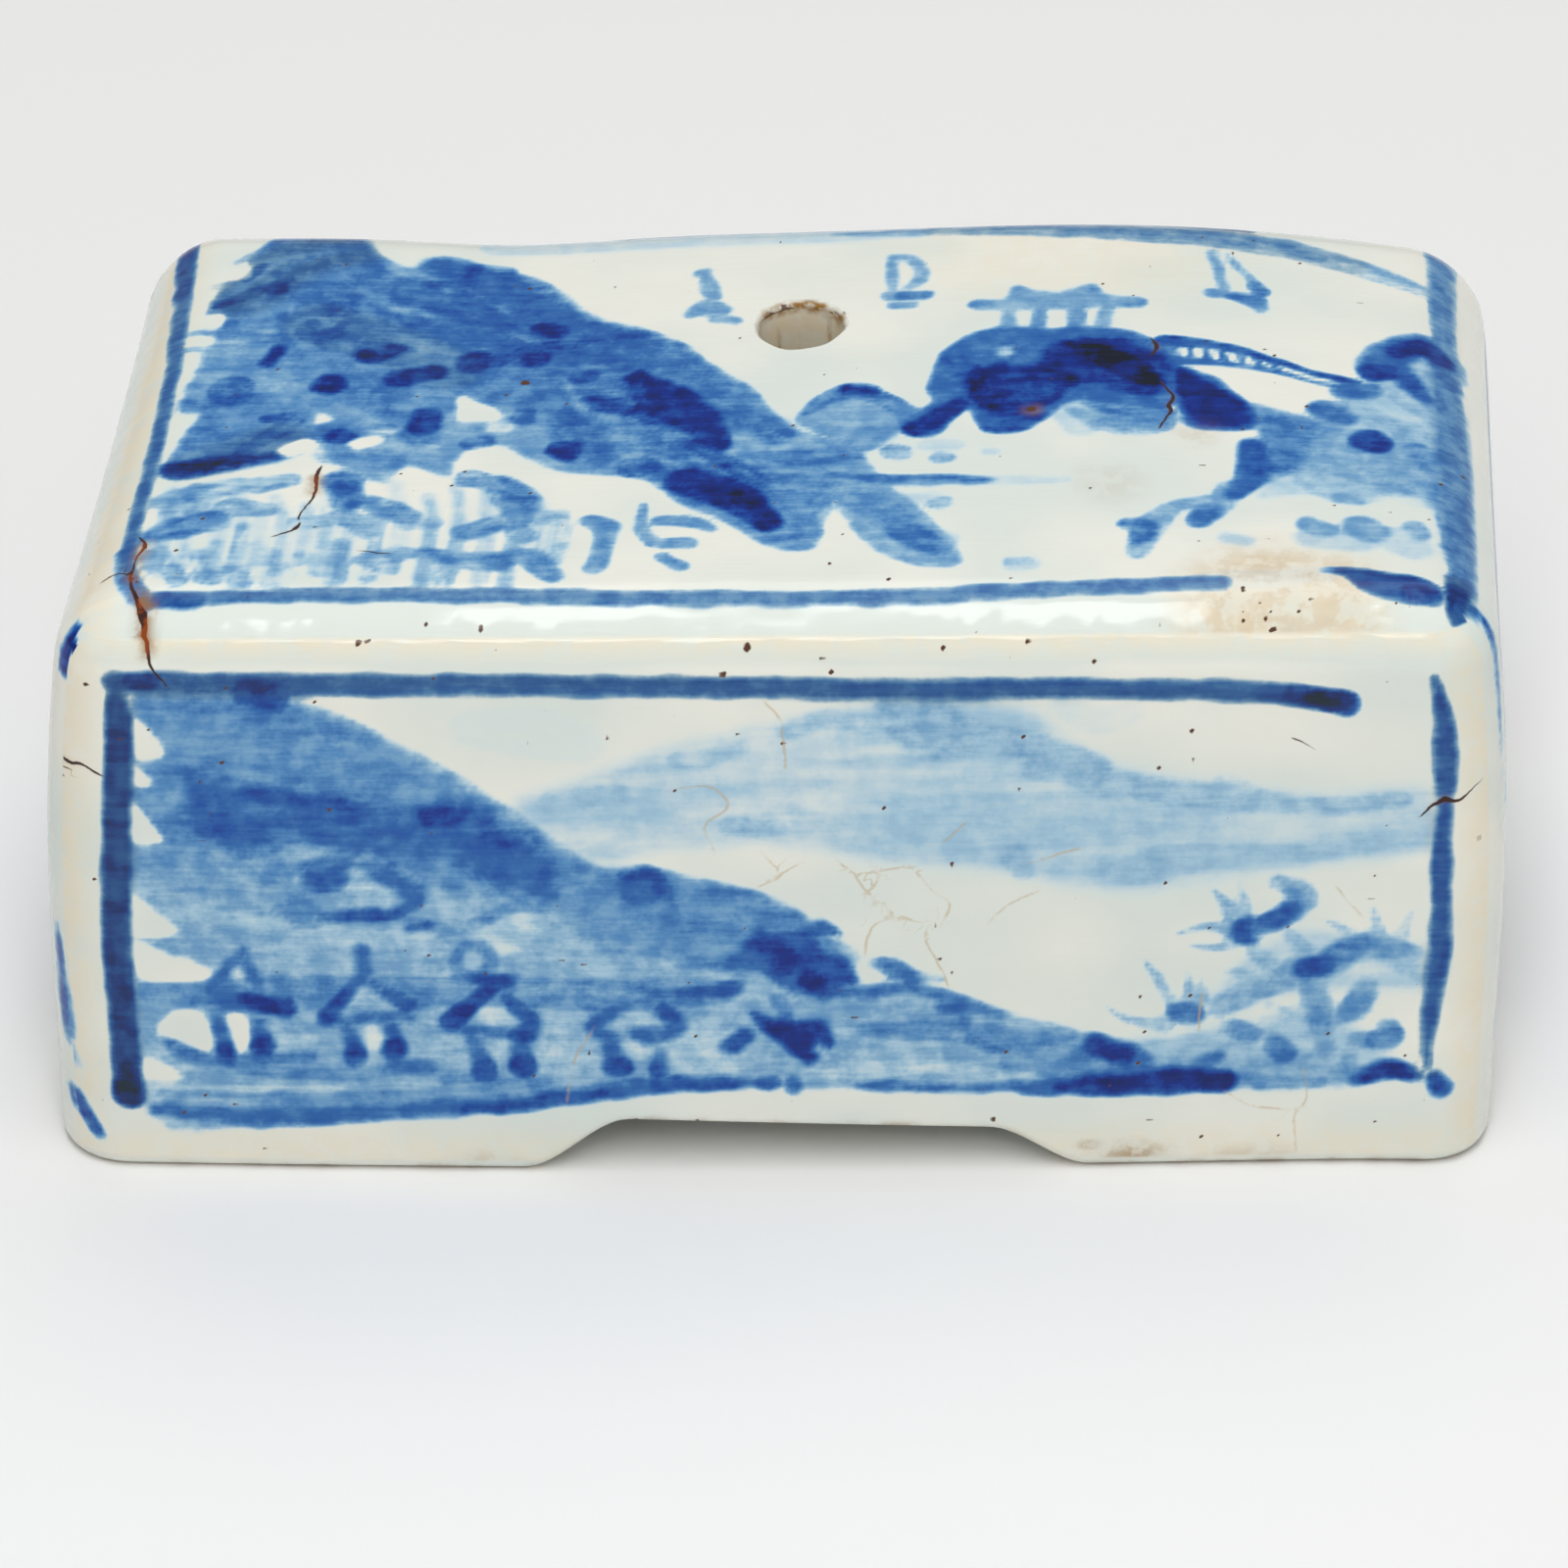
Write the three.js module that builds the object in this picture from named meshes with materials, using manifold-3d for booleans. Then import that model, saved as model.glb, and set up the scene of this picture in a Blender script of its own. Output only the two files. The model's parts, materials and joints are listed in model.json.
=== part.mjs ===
// A rectangular porcelain water dropper for a scholar's desk: a slab-built, hollow box on four low
// bracket feet, with a filling mouth in its roof and a small pouring hole in its back shoulder.
// Millimetres, +Z up, +X along the length, -Y is the front. The origin is under the middle of the
// fired body, on the plane that the feet stand on.
import * as THREE from 'three';
import { mergeVertices } from 'three/addons/utils/BufferGeometryUtils.js';
import Module from 'manifold-3d';

// Overall size of the box before it sags and leans in the kiln
const LENGTH = 99.6;
const DEPTH = 56;
const HEIGHT = 46.3;

// Rounding of the outside edges
const PLAN_RADIUS = 5.1;
const SHOULDER_RADIUS = 5.1;
const FOOT_EDGE_RADIUS = 1.2;

// Thickness of the slabs, and the rounding of the chamber's own edges
const WALL = 5;
const ROOF = 4.6;
const BASE_SLAB = 4.6;
const CHAMBER_RADIUS = 3.5;

// The recess under the base leaves a ring, which the cut-outs part into four bracket feet
const FOOT_WIDTH = 6.5;
const BASE_RECESS = 5.2;
const RECESS_RADIUS = 3;
const RECESS_EDGE_RADIUS = 1;
const FRONT_CUT = { centre: 2.2, footSpan: 39.4, topSpan: 24.8, leftRise: 4.3, rightRise: 3.4 };
const END_CUT = { centre: 0, footSpan: 22, topSpan: 13, leftRise: 3.4, rightRise: 3.4 };

// The filling mouth, placed from the back wall's outer face
const MOUTH_X = 0;
const MOUTH_FROM_BACK = 16.9;
const MOUTH_DIAMETER = 6.3;
const MOUTH_CHAMFER = 0.45;

// The pouring hole, drilled down into the chamber through the back shoulder, near the right end
const POUR_FROM_END = 9;
const POUR_DIAMETER = 3;
const POUR_TILT = Math.PI / 4;

// How far the soft clay moved while it dried and fired
const BACK_DRIFT = 2.5; // the back wall stands this far to the right of the front wall
const LEFT_FLARE = 2; // the left end's foot spreads out, and its back top edge leans in, by this much
const RIGHT_FLARE = 0.7;
const LEFT_SCOOP = 0.35; // the hollow in the middle of the left end's top edge
const END_BELLY = 1;
const LONG_BELLY = 0.3;
const BELLY_LIFT = 1.3; // above 1, the walls bulge most above the middle of their height
const FOOT_BOW = 1.2; // the feet of the long walls bow out by this much in the middle
const SQUARE_CORNER = 1.3; // the front right foot's corner is squarer than the others by this much
const BACK_SAG = { x: -22, width: 9.2, drop: 0.77 };
const BACK_SWELL = { x: 22, width: 20, rise: 0.88 };
const RIGHT_DROOP = 2.7;

// Fineness of the faceted surface: steps over half a bend, and over the flat between two bends
const OUTSIDE_STEPS = { bend: 4, x: 14, y: 8, z: 5 };
const CHAMBER_STEPS = { bend: 2, x: 7, y: 4, z: 3 };
const RECESS_STEPS = { bend: 2, x: 2, y: 2, z: 2 };
const ROUND_SIDES = 32;
const CURVE_STEPS = 7;
const CLEAR = 2; // how far a cutting tool runs past the faces that it cuts

const GLAZE = new THREE.MeshStandardMaterial({
  name: 'porcelain_glaze',
  color: new THREE.Color(0.8, 0.82, 0.8),
  roughness: 0.16,
  metalness: 0,
});

const wasm = await Module();
wasm.setup();

const clamp = THREE.MathUtils.clamp;
const bump = (value, centre, width) => Math.exp(-(((value - centre) / width) ** 2));

// Moves a point of the true box to where the fired clay holds it. The feet's plane stays flat.
function fired(x, y, z) {
  const up = z / HEIGHT;
  const back = 0.5 + y / DEPTH;
  const along = (2 * x) / LENGTH;
  const across = (2 * y) / DEPTH;
  const drift = BACK_DRIFT * (back - 0.5);
  const flare = (along < 0 ? LEFT_FLARE : RIGHT_FLARE) * along * (1 - up - back * up);
  const scoop = -LEFT_SCOOP * Math.min(along, 0) * up * 4 * back * (1 - back);
  const belly = Math.sin(Math.PI * clamp(up, 0, 1) ** BELLY_LIFT);
  const bow = (LONG_BELLY * belly + FOOT_BOW * (1 - up)) * across * (1 - along ** 2);
  const rightFoot = Math.max(0, along) ** 8 * across ** 8 * (1 - back) * (1 - up);
  const sag = -BACK_SAG.drop * bump(x, BACK_SAG.x, BACK_SAG.width);
  const swell = BACK_SWELL.rise * bump(x, BACK_SWELL.x, BACK_SWELL.width);
  const droop = -RIGHT_DROOP * Math.max(0, along) ** 4;
  return [
    x + drift + flare + scoop + END_BELLY * along * belly + SQUARE_CORNER * rightFoot,
    y + bow - SQUARE_CORNER * rightFoot,
    z + (sag + swell + droop) * back * up ** 2,
  ];
}

// Places along a side that runs from -half to half: the bends at its ends get steps of equal angle,
// and the flat between them gets steps of equal length.
function stations(half, startRadius, endRadius, bendSteps, flatSteps) {
  const fromCorner = (radius, i) => radius * (1 - Math.tan((Math.PI / 4) * (1 - i / bendSteps)));
  const start = startRadius - half;
  const flat = 2 * half - startRadius - endRadius;
  return [
    ...Array.from({ length: bendSteps }, (_, i) => fromCorner(startRadius, i) - half),
    ...Array.from({ length: flatSteps + 1 }, (_, i) => start + (flat * i) / flatSteps),
    ...Array.from({ length: bendSteps }, (_, i) => half - fromCorner(endRadius, bendSteps - 1 - i)),
  ];
}

// Turns the square corner between two faces into an arc. Both values are distances in from the faces.
function roundCorner(inward, below, radius) {
  if (inward >= radius || below >= radius) return [inward, below];
  const u = radius - inward;
  const w = radius - below;
  const onArc = Math.max(u, w) / Math.hypot(u, w);
  return [radius - u * onArc, radius - w * onArc];
}

// A closed box with rounded upright edges, and its own rounding at the top and bottom edges
function softBox({ length, depth, bottom, top, planRadius, topRadius, bottomRadius, steps }) {
  const middle = (bottom + top) / 2;
  const tall = top - bottom;
  const xs = stations(length / 2, planRadius, planRadius, steps.bend, steps.x);
  const ys = stations(depth / 2, planRadius, planRadius, steps.bend, steps.y);
  const zs = stations(tall / 2, bottomRadius, topRadius, steps.bend, steps.z);
  const box = new THREE.BoxGeometry(2, 2, 2, xs.length - 1, ys.length - 1, zs.length - 1);
  const place = box.attributes.position;
  const pick = (places, value) => places[Math.round(((value + 1) / 2) * (places.length - 1))];
  for (let i = 0; i < place.count; i += 1) {
    const x = pick(xs, place.getX(i));
    const y = pick(ys, place.getY(i));
    const z = middle + pick(zs, place.getZ(i));
    const coreX = clamp(x, planRadius - length / 2, length / 2 - planRadius);
    const coreY = clamp(y, planRadius - depth / 2, depth / 2 - planRadius);
    const outX = x - coreX;
    const outY = y - coreY;
    const reach = Math.max(Math.abs(outX), Math.abs(outY));
    const span = Math.hypot(outX, outY) || 1;
    const inward = planRadius - reach;
    const fromTop = roundCorner(inward, top - z, topRadius);
    const fromBottom = roundCorner(inward, z - bottom, bottomRadius);
    const upper = z > middle;
    const held = planRadius - (upper ? fromTop[0] : fromBottom[0]);
    place.setXYZ(
      i,
      coreX + (outX / span) * held,
      coreY + (outY / span) * held,
      upper ? top - fromTop[1] : bottom + fromBottom[1],
    );
  }
  return box;
}

// The side view of one cut-out between two feet: a low arch with S-shaped shoulders
function cutOutline({ centre, footSpan, topSpan, leftRise, rightRise }) {
  const foot = footSpan / 2;
  const crown = topSpan / 2;
  const ease = (foot - crown) / 2;
  const shape = new THREE.Shape();
  shape.moveTo(centre - foot, -CLEAR);
  shape.lineTo(centre - foot, 0);
  shape.bezierCurveTo(
    centre - foot + ease, 0,
    centre - crown - ease, leftRise,
    centre - crown, leftRise,
  );
  shape.lineTo(centre + crown, rightRise);
  shape.bezierCurveTo(
    centre + crown + ease, rightRise,
    centre + foot - ease, 0,
    centre + foot, 0,
  );
  shape.lineTo(centre + foot, -CLEAR);
  return shape;
}

// A cut-out drawn in the XZ plane and run through the whole box along Y
function cutThrough(cut, run) {
  const depth = run + 2 * CLEAR;
  const tool = new THREE.ExtrudeGeometry(cutOutline(cut), {
    depth,
    bevelEnabled: false,
    curveSegments: CURVE_STEPS,
  });
  return tool.rotateX(Math.PI / 2).translate(0, depth / 2, 0);
}

// A round tool along Z with a wider, chamfered mouth at the height of the roof
function mouthTool() {
  const radius = MOUTH_DIAMETER / 2;
  const profile = [
    [0, HEIGHT - ROOF - CLEAR],
    [radius, HEIGHT - ROOF - CLEAR],
    [radius, HEIGHT - MOUTH_CHAMFER],
    [radius + MOUTH_CHAMFER + CLEAR, HEIGHT + CLEAR],
    [0, HEIGHT + CLEAR],
  ].map(([r, z]) => new THREE.Vector2(r, z));
  const tool = new THREE.LatheGeometry(profile, ROUND_SIDES).rotateX(Math.PI / 2);
  return tool.translate(MOUTH_X, DEPTH / 2 - MOUTH_FROM_BACK, 0);
}

// A drill that leaves the back shoulder square to its curve
function pourTool() {
  const reach = 2 * SHOULDER_RADIUS + WALL + ROOF;
  const tool = new THREE.CylinderGeometry(
    POUR_DIAMETER / 2, POUR_DIAMETER / 2, reach, ROUND_SIDES / 2,
  );
  return tool
    .rotateX(Math.PI / 2 - POUR_TILT)
    .translate(
      LENGTH / 2 - POUR_FROM_END,
      DEPTH / 2 - SHOULDER_RADIUS,
      HEIGHT - SHOULDER_RADIUS,
    );
}

// The closed solid of a geometry, moved to where the fired clay holds it
function solid(geometry) {
  geometry.deleteAttribute('normal');
  geometry.deleteAttribute('uv');
  const merged = mergeVertices(geometry, 1e-4);
  const place = merged.attributes.position;
  for (let i = 0; i < place.count; i += 1) {
    place.setXYZ(i, ...fired(place.getX(i), place.getY(i), place.getZ(i)));
  }
  const corners = [];
  for (let i = 0; i < merged.index.count; i += 3) {
    const triangle = [0, 1, 2].map((k) => merged.index.getX(i + k));
    if (new Set(triangle).size === 3) corners.push(...triangle);
  }
  return new wasm.Manifold(new wasm.Mesh({
    numProp: 3,
    vertProperties: new Float32Array(place.array),
    triVerts: new Uint32Array(corners),
  }));
}

function geometryOf(manifold) {
  const mesh = manifold.getMesh();
  const geometry = new THREE.BufferGeometry();
  geometry.setAttribute('position', new THREE.BufferAttribute(mesh.vertProperties, 3));
  geometry.setIndex(new THREE.BufferAttribute(mesh.triVerts, 1));
  geometry.computeVertexNormals();
  return geometry;
}

function outside() {
  return softBox({
    length: LENGTH,
    depth: DEPTH,
    bottom: 0,
    top: HEIGHT,
    planRadius: PLAN_RADIUS,
    topRadius: SHOULDER_RADIUS,
    bottomRadius: FOOT_EDGE_RADIUS,
    steps: OUTSIDE_STEPS,
  });
}

function chamber() {
  return softBox({
    length: LENGTH - 2 * WALL,
    depth: DEPTH - 2 * WALL,
    bottom: BASE_RECESS + BASE_SLAB,
    top: HEIGHT - ROOF,
    planRadius: CHAMBER_RADIUS,
    topRadius: CHAMBER_RADIUS,
    bottomRadius: CHAMBER_RADIUS,
    steps: CHAMBER_STEPS,
  });
}

function baseRecess() {
  return softBox({
    length: LENGTH - 2 * FOOT_WIDTH,
    depth: DEPTH - 2 * FOOT_WIDTH,
    bottom: -CLEAR - BASE_RECESS,
    top: BASE_RECESS,
    planRadius: RECESS_RADIUS,
    topRadius: RECESS_EDGE_RADIUS,
    bottomRadius: RECESS_EDGE_RADIUS,
    steps: RECESS_STEPS,
  });
}

function porcelainBody() {
  const hollows = [
    chamber(),
    baseRecess(),
    cutThrough(FRONT_CUT, DEPTH),
    cutThrough(END_CUT, LENGTH).rotateZ(Math.PI / 2),
    mouthTool(),
    pourTool(),
  ];
  const body = hollows.reduce((clay, hollow) => clay.subtract(solid(hollow)), solid(outside()));
  const geometry = geometryOf(body);
  geometry.computeBoundingBox();
  const middle = geometry.boundingBox.getCenter(new THREE.Vector3());
  geometry.translate(-middle.x, -middle.y, -geometry.boundingBox.min.z);
  const mesh = new THREE.Mesh(geometry, GLAZE);
  mesh.name = 'porcelain_body';
  return mesh;
}

const waterDropper = new THREE.Group();
waterDropper.add(porcelainBody());

export default waterDropper;
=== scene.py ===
import json
import math

import bmesh
import bpy
import numpy as np
from mathutils import Matrix, Vector

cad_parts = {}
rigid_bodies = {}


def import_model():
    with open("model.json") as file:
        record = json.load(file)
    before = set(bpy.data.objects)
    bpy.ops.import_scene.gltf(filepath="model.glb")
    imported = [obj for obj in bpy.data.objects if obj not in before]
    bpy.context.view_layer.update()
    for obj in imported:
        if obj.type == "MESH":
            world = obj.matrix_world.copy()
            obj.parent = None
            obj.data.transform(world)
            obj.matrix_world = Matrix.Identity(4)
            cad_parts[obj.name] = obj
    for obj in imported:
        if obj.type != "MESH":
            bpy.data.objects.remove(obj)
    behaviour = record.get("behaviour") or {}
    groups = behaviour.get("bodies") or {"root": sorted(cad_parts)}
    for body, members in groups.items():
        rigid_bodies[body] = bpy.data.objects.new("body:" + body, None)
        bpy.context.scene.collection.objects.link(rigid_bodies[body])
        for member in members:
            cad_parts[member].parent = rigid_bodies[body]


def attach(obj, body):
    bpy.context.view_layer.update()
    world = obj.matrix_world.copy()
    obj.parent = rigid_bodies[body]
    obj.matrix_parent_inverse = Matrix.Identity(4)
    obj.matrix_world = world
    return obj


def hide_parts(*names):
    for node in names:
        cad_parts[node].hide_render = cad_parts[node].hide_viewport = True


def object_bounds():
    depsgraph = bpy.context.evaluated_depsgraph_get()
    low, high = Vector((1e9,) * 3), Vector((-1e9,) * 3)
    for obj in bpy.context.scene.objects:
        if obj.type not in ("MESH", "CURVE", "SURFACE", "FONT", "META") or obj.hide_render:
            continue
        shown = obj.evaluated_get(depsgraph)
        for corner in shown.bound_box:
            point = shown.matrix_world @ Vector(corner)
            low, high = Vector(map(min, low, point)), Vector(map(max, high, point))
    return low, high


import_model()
cad_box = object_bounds()

MM = 0.001

# Size of the true box
LENGTH = 99.6
DEPTH = 56.0
HEIGHT = 46.3
HALF_LENGTH = LENGTH / 2
HALF_DEPTH = DEPTH / 2
PLAN_RADIUS = 5.1
SHOULDER_RADIUS = 5.1
FOOT_EDGE_RADIUS = 1.2

# Thickness of the slabs, and the rounding of the chamber's own edges
WALL = 5.0
ROOF = 4.6
BASE_SLAB = 4.6
CHAMBER_RADIUS = 3.5

# The recess under the base, and the cut-outs that part its ring into four feet
FOOT_WIDTH = 6.5
BASE_RECESS = 5.2
RECESS_RADIUS = 3.0
RECESS_EDGE_RADIUS = 1.0
RECESS_DRAFT = 0.4
FRONT_CUT = {"centre": 2.2, "foot_span": 39.4, "top_span": 24.8, "left_rise": 4.3, "right_rise": 3.4}
END_CUT = {"centre": 0.0, "foot_span": 22.0, "top_span": 13.0, "left_rise": 3.4, "right_rise": 3.4}
CUT_FADE_OUTSIDE = 9.5
CUT_BAND = 8.0

# The filling mouth and the pouring hole
MOUTH_X = 0.0
MOUTH_Y = HALF_DEPTH - 16.9
MOUTH_RADIUS = 3.15
MOUTH_LIP = 0.45
POUR_FROM_END = 9.0
POUR_RADIUS = 1.5
POUR_TILT = math.pi / 4

# How far the soft clay moved while it dried and fired
BACK_DRIFT = 2.5
LEFT_FLARE = 2.0
RIGHT_FLARE = 0.7
LEFT_SCOOP = 0.35
END_BELLY = 1.0
LONG_BELLY = 0.3
BELLY_LIFT = 1.3
FOOT_BOW = 1.2
SQUARE_CORNER = 1.3
BACK_SAG = {"x": -22.0, "width": 9.2, "drop": 0.77}
BACK_SWELL = {"x": 22.0, "width": 20.0, "rise": 0.88}
RIGHT_DROOP = 2.7

# Fineness of the mesh
COARSE_STEP = 1.15
FINE_CUTS = 2
SHORTEST_CUT_EDGE = 0.5
CHAMBER_STEP = 4.0
BEND_STEPS = 4
HOLE_SIDES = 64
CREASE_ANGLE = math.radians(38)

# How near a face counts as on it, and the smallest value that is divided by
ON_FACE = 1e-5
TINY = 1e-9

# The brush, in millimetres: half the width over which a stroke's edge fades, how far the hand sways
# and over what length, the width of a streak that the bristles leave, and the streaks in a stroke
STROKE_EDGE = 0.52
HAND_SWAY = 0.26
SWAY_LENGTH = 1.7
BRISTLE_WIDTH = 0.55
BRISTLE_RUNS = 3

# Streaks in a filled area, as width and length in millimetres
FINE_GRAIN = (0.8, 9)
BROAD_GRAIN = (2.6, 14)

# The size of the table of noise, and where the patterns are read, away from the origin
NOISE_TABLE = 97
BRISTLES_AT = (40, 7)
GRAIN_AT = 50
MARKS_AT = 40

# How soft the edge of a wiped area is, outside and inside it
WIPE_OUTSIDE = 0.45
WIPE_INSIDE = 0.35

# How far beside a crack its side is stored, and over what length its ends fade, in millimetres
CRACK_REACH = 1.2
CRACK_END = 0.45
NO_CRACK = 9.0

# The width given to a hairline. Its half is stored as the hairline's strength
HAIRLINE_WIDTH = 2.0

# Stored paint values that the material reads as none and as full
NO_PAINT = 0.1
FULL_PAINT = 0.9

# The sheets that are painted: how deep the outer skin reaches, and how far from the faces of the box
# the sheets of the roof, the long sides and the ends reach
SKIN = 3.0
ROOF_SHEET = 2.2
LONG_SHEET = 1.6
END_SHEET = 1.9
SHEET_BOTTOM = 1.0

# Clouds of whiteness in the glaze: strength, size along x, size along y and z, and seed
CLOUDS = ((0.6, 16, 12, 61), (0.4, 5, 4, 62))
CLOUDS_AT = 60

# The marks of the clay: how far past the chamber's faces they reach, how thin the glaze inside is,
# and how wide the brown ring around the pouring hole is
MARK_MARGIN = 0.2
THIN_GLAZE = 0.7
RING_WIDTH = 0.55


def smoothstep(value, low, high):
    share = np.clip((value - low) / (high - low), 0, 1)
    return share * share * (3 - 2 * share)


def bump_curve(value, centre, width):
    return np.exp(-(((value - centre) / width) ** 2))


# The fired shape

def fired(points):
    """Moves points of the true box to where the fired clay holds them."""
    x, y, z = points.T
    up = z / HEIGHT
    back = 0.5 + y / DEPTH
    along = x / HALF_LENGTH
    across = y / HALF_DEPTH
    drift = BACK_DRIFT * (back - 0.5)
    flare = np.where(along < 0, LEFT_FLARE, RIGHT_FLARE) * along * (1 - up - back * up)
    scoop = -LEFT_SCOOP * np.minimum(along, 0) * up * 4 * back * (1 - back)
    belly = np.sin(np.pi * np.clip(up, 0, 1) ** BELLY_LIFT)
    bow = (LONG_BELLY * belly + FOOT_BOW * (1 - up)) * across * (1 - along**2)
    right_foot = np.maximum(0, along) ** 8 * across**8 * (1 - back) * (1 - up)
    sag = -BACK_SAG["drop"] * bump_curve(x, BACK_SAG["x"], BACK_SAG["width"])
    swell = BACK_SWELL["rise"] * bump_curve(x, BACK_SWELL["x"], BACK_SWELL["width"])
    droop = -RIGHT_DROOP * np.maximum(0, along) ** 4
    return np.column_stack([
        x + drift + flare + scoop + END_BELLY * along * belly + SQUARE_CORNER * right_foot,
        y + bow - SQUARE_CORNER * right_foot,
        z + (sag + swell + droop) * back * up**2,
    ])


def bend_insets(radius, steps):
    """Distances in from a corner at which the arc that rounds it gets steps of equal angle."""
    angles = math.pi / 4 * (1 - np.arange(steps) / steps)
    return list(radius * (1 - np.tan(angles)))


def places(half, start_insets, end_insets, step):
    """Places along a side from -half to half: the given insets at the ends, even steps between."""
    first = start_insets[-1] - half
    last = half - end_insets[-1]
    count = max(1, round((last - first) / step))
    start = [inset - half for inset in start_insets[:-1]]
    end = [half - inset for inset in reversed(end_insets[:-1])]
    return np.array(start + list(np.linspace(first, last, count + 1)) + end)


def grid_quads(ids, flip):
    """The four-sided faces of a grid of vertex numbers."""
    quads = np.stack([ids[:-1, :-1], ids[1:, :-1], ids[1:, 1:], ids[:-1, 1:]], axis=-1)
    quads = quads.reshape(-1, 4)
    return quads[:, ::-1] if flip else quads


def box_lattice(xs, ys, zs):
    """A closed box with a grid on each of its six faces, as vertices and faces."""
    shape = (len(xs), len(ys), len(zs))
    skin = np.ones(shape, bool)
    skin[1:-1, 1:-1, 1:-1] = False
    ids = np.full(shape, -1)
    ids[skin] = np.arange(skin.sum())
    i, j, k = np.nonzero(skin)
    points = np.column_stack([xs[i], ys[j], zs[k]])
    faces = np.concatenate([
        grid_quads(ids[:, :, 0], True),
        grid_quads(ids[:, :, -1], False),
        grid_quads(ids[:, 0, :], False),
        grid_quads(ids[:, -1, :], True),
        grid_quads(ids[0, :, :], True),
        grid_quads(ids[-1, :, :], False),
    ])
    return points, faces


def round_corner(inward, below, radius):
    """Turns the square corner between two faces into an arc. Both are distances in from the faces."""
    u = radius - inward
    w = radius - below
    in_corner = (u > 0) & (w > 0)
    reach = np.where(in_corner, np.maximum(u, w), 1)
    span = np.where(in_corner, np.hypot(u, w), 1)
    held = reach / span
    return (
        np.where(in_corner, radius - u * held, inward),
        np.where(in_corner, radius - w * held, below),
    )


def soften(points, half_length, half_depth, bottom, top, plan, upper, lower):
    """Rounds a box's upright edges by plan, its top edges by upper and its bottom edges by lower."""
    x, y, z = points.T
    core_x = np.clip(x, plan - half_length, half_length - plan)
    core_y = np.clip(y, plan - half_depth, half_depth - plan)
    out_x = x - core_x
    out_y = y - core_y
    span = np.hypot(out_x, out_y)
    span[span == 0] = 1
    inward = plan - np.maximum(np.abs(out_x), np.abs(out_y))
    top_in, top_below = round_corner(inward, top - z, upper)
    low_in, low_above = round_corner(inward, z - bottom, lower)
    is_high = z > (bottom + top) / 2
    held = plan - np.where(is_high, top_in, low_in)
    return np.column_stack([
        core_x + out_x / span * held,
        core_y + out_y / span * held,
        np.where(is_high, top - top_below, bottom + low_above),
    ])


# The foot ring and the recess under the base

LIP_START = FOOT_WIDTH - RECESS_EDGE_RADIUS
WALL_TOP_INSET = FOOT_WIDTH + RECESS_DRAFT
RECESS_END = WALL_TOP_INSET + RECESS_EDGE_RADIUS


def arc_points(start, end, count):
    return start + (end - start) * np.arange(1, count + 1) / count


def underside_insets():
    """Insets at which the rim, the ring and the recess under the base need an edge loop."""
    lip = LIP_START + RECESS_EDGE_RADIUS * np.sin(arc_points(0, math.pi / 2, 3))
    wall = arc_points(FOOT_WIDTH, WALL_TOP_INSET, 2)
    fillet = RECESS_END - RECESS_EDGE_RADIUS * np.cos(arc_points(0, math.pi / 2, 3))
    return [LIP_START, *lip, *wall, *fillet]


def underside_height(inset):
    """Height of the underside at a distance in from the outline of the box."""
    radius = RECESS_EDGE_RADIUS
    lip = radius - np.sqrt(np.maximum(0, radius**2 - np.clip(inset - LIP_START, 0, radius) ** 2))
    wall = np.interp(inset, [FOOT_WIDTH, WALL_TOP_INSET], [radius, BASE_RECESS - radius])
    into = np.clip(RECESS_END - inset, 0, radius)
    fillet = BASE_RECESS - radius + np.sqrt(np.maximum(0, radius**2 - into**2))
    height = np.where(inset < FOOT_WIDTH, lip, wall)
    return np.where(inset > WALL_TOP_INSET, fillet, height)


def shape_underside(raw, rest):
    """Moves the bottom face's vertices, past the foot's rounded edge, to the ring and the recess."""
    inset = np.minimum(HALF_LENGTH - np.abs(raw[:, 0]), HALF_DEPTH - np.abs(raw[:, 1]))
    under = (raw[:, 2] < ON_FACE) & (inset > FOOT_EDGE_RADIUS)
    t = inset[under]
    x, y = raw[under, 0], raw[under, 1]
    radius = np.interp(
        t,
        [FOOT_EDGE_RADIUS, FOOT_WIDTH, RECESS_END + RECESS_RADIUS],
        [PLAN_RADIUS - FOOT_EDGE_RADIUS, RECESS_RADIUS, 0.01],
    )
    reach_x = HALF_LENGTH - t - radius
    reach_y = HALF_DEPTH - t - radius
    core_x = np.clip(x, -reach_x, reach_x)
    core_y = np.clip(y, -reach_y, reach_y)
    span = np.maximum(np.hypot(x - core_x, y - core_y), TINY)
    rest[under, 0] = core_x + (x - core_x) / span * np.minimum(span, radius)
    rest[under, 1] = core_y + (y - core_y) / span * np.minimum(span, radius)
    rest[under, 2] = underside_height(t)


def cut_rise(place, cut):
    """Height of a cut-out at a place along its wall."""
    foot = cut["foot_span"] / 2
    crown = cut["top_span"] / 2
    offset = place - cut["centre"]
    height = np.interp(offset, [-crown, crown], [cut["left_rise"], cut["right_rise"]])
    return height * smoothstep(foot - np.abs(offset), 0, foot - crown)


def raise_cut_outs(rest):
    """Lifts the lower edge of the walls between the feet."""
    x, y, z = rest.T
    side_inset = HALF_DEPTH - np.abs(y)
    end_inset = HALF_LENGTH - np.abs(x)
    rise = np.where(side_inset < CUT_BAND, cut_rise(x, FRONT_CUT), 0)
    rise = np.where(end_inset < CUT_BAND, cut_rise(y, END_CUT), rise)
    inset = np.minimum(side_inset, end_inset)
    reach = np.interp(inset, [FOOT_EDGE_RADIUS, LIP_START], [CUT_FADE_OUTSIDE, BASE_RECESS])
    rest[:, 2] += rise * np.clip(1 - z / reach, 0, 1)


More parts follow.
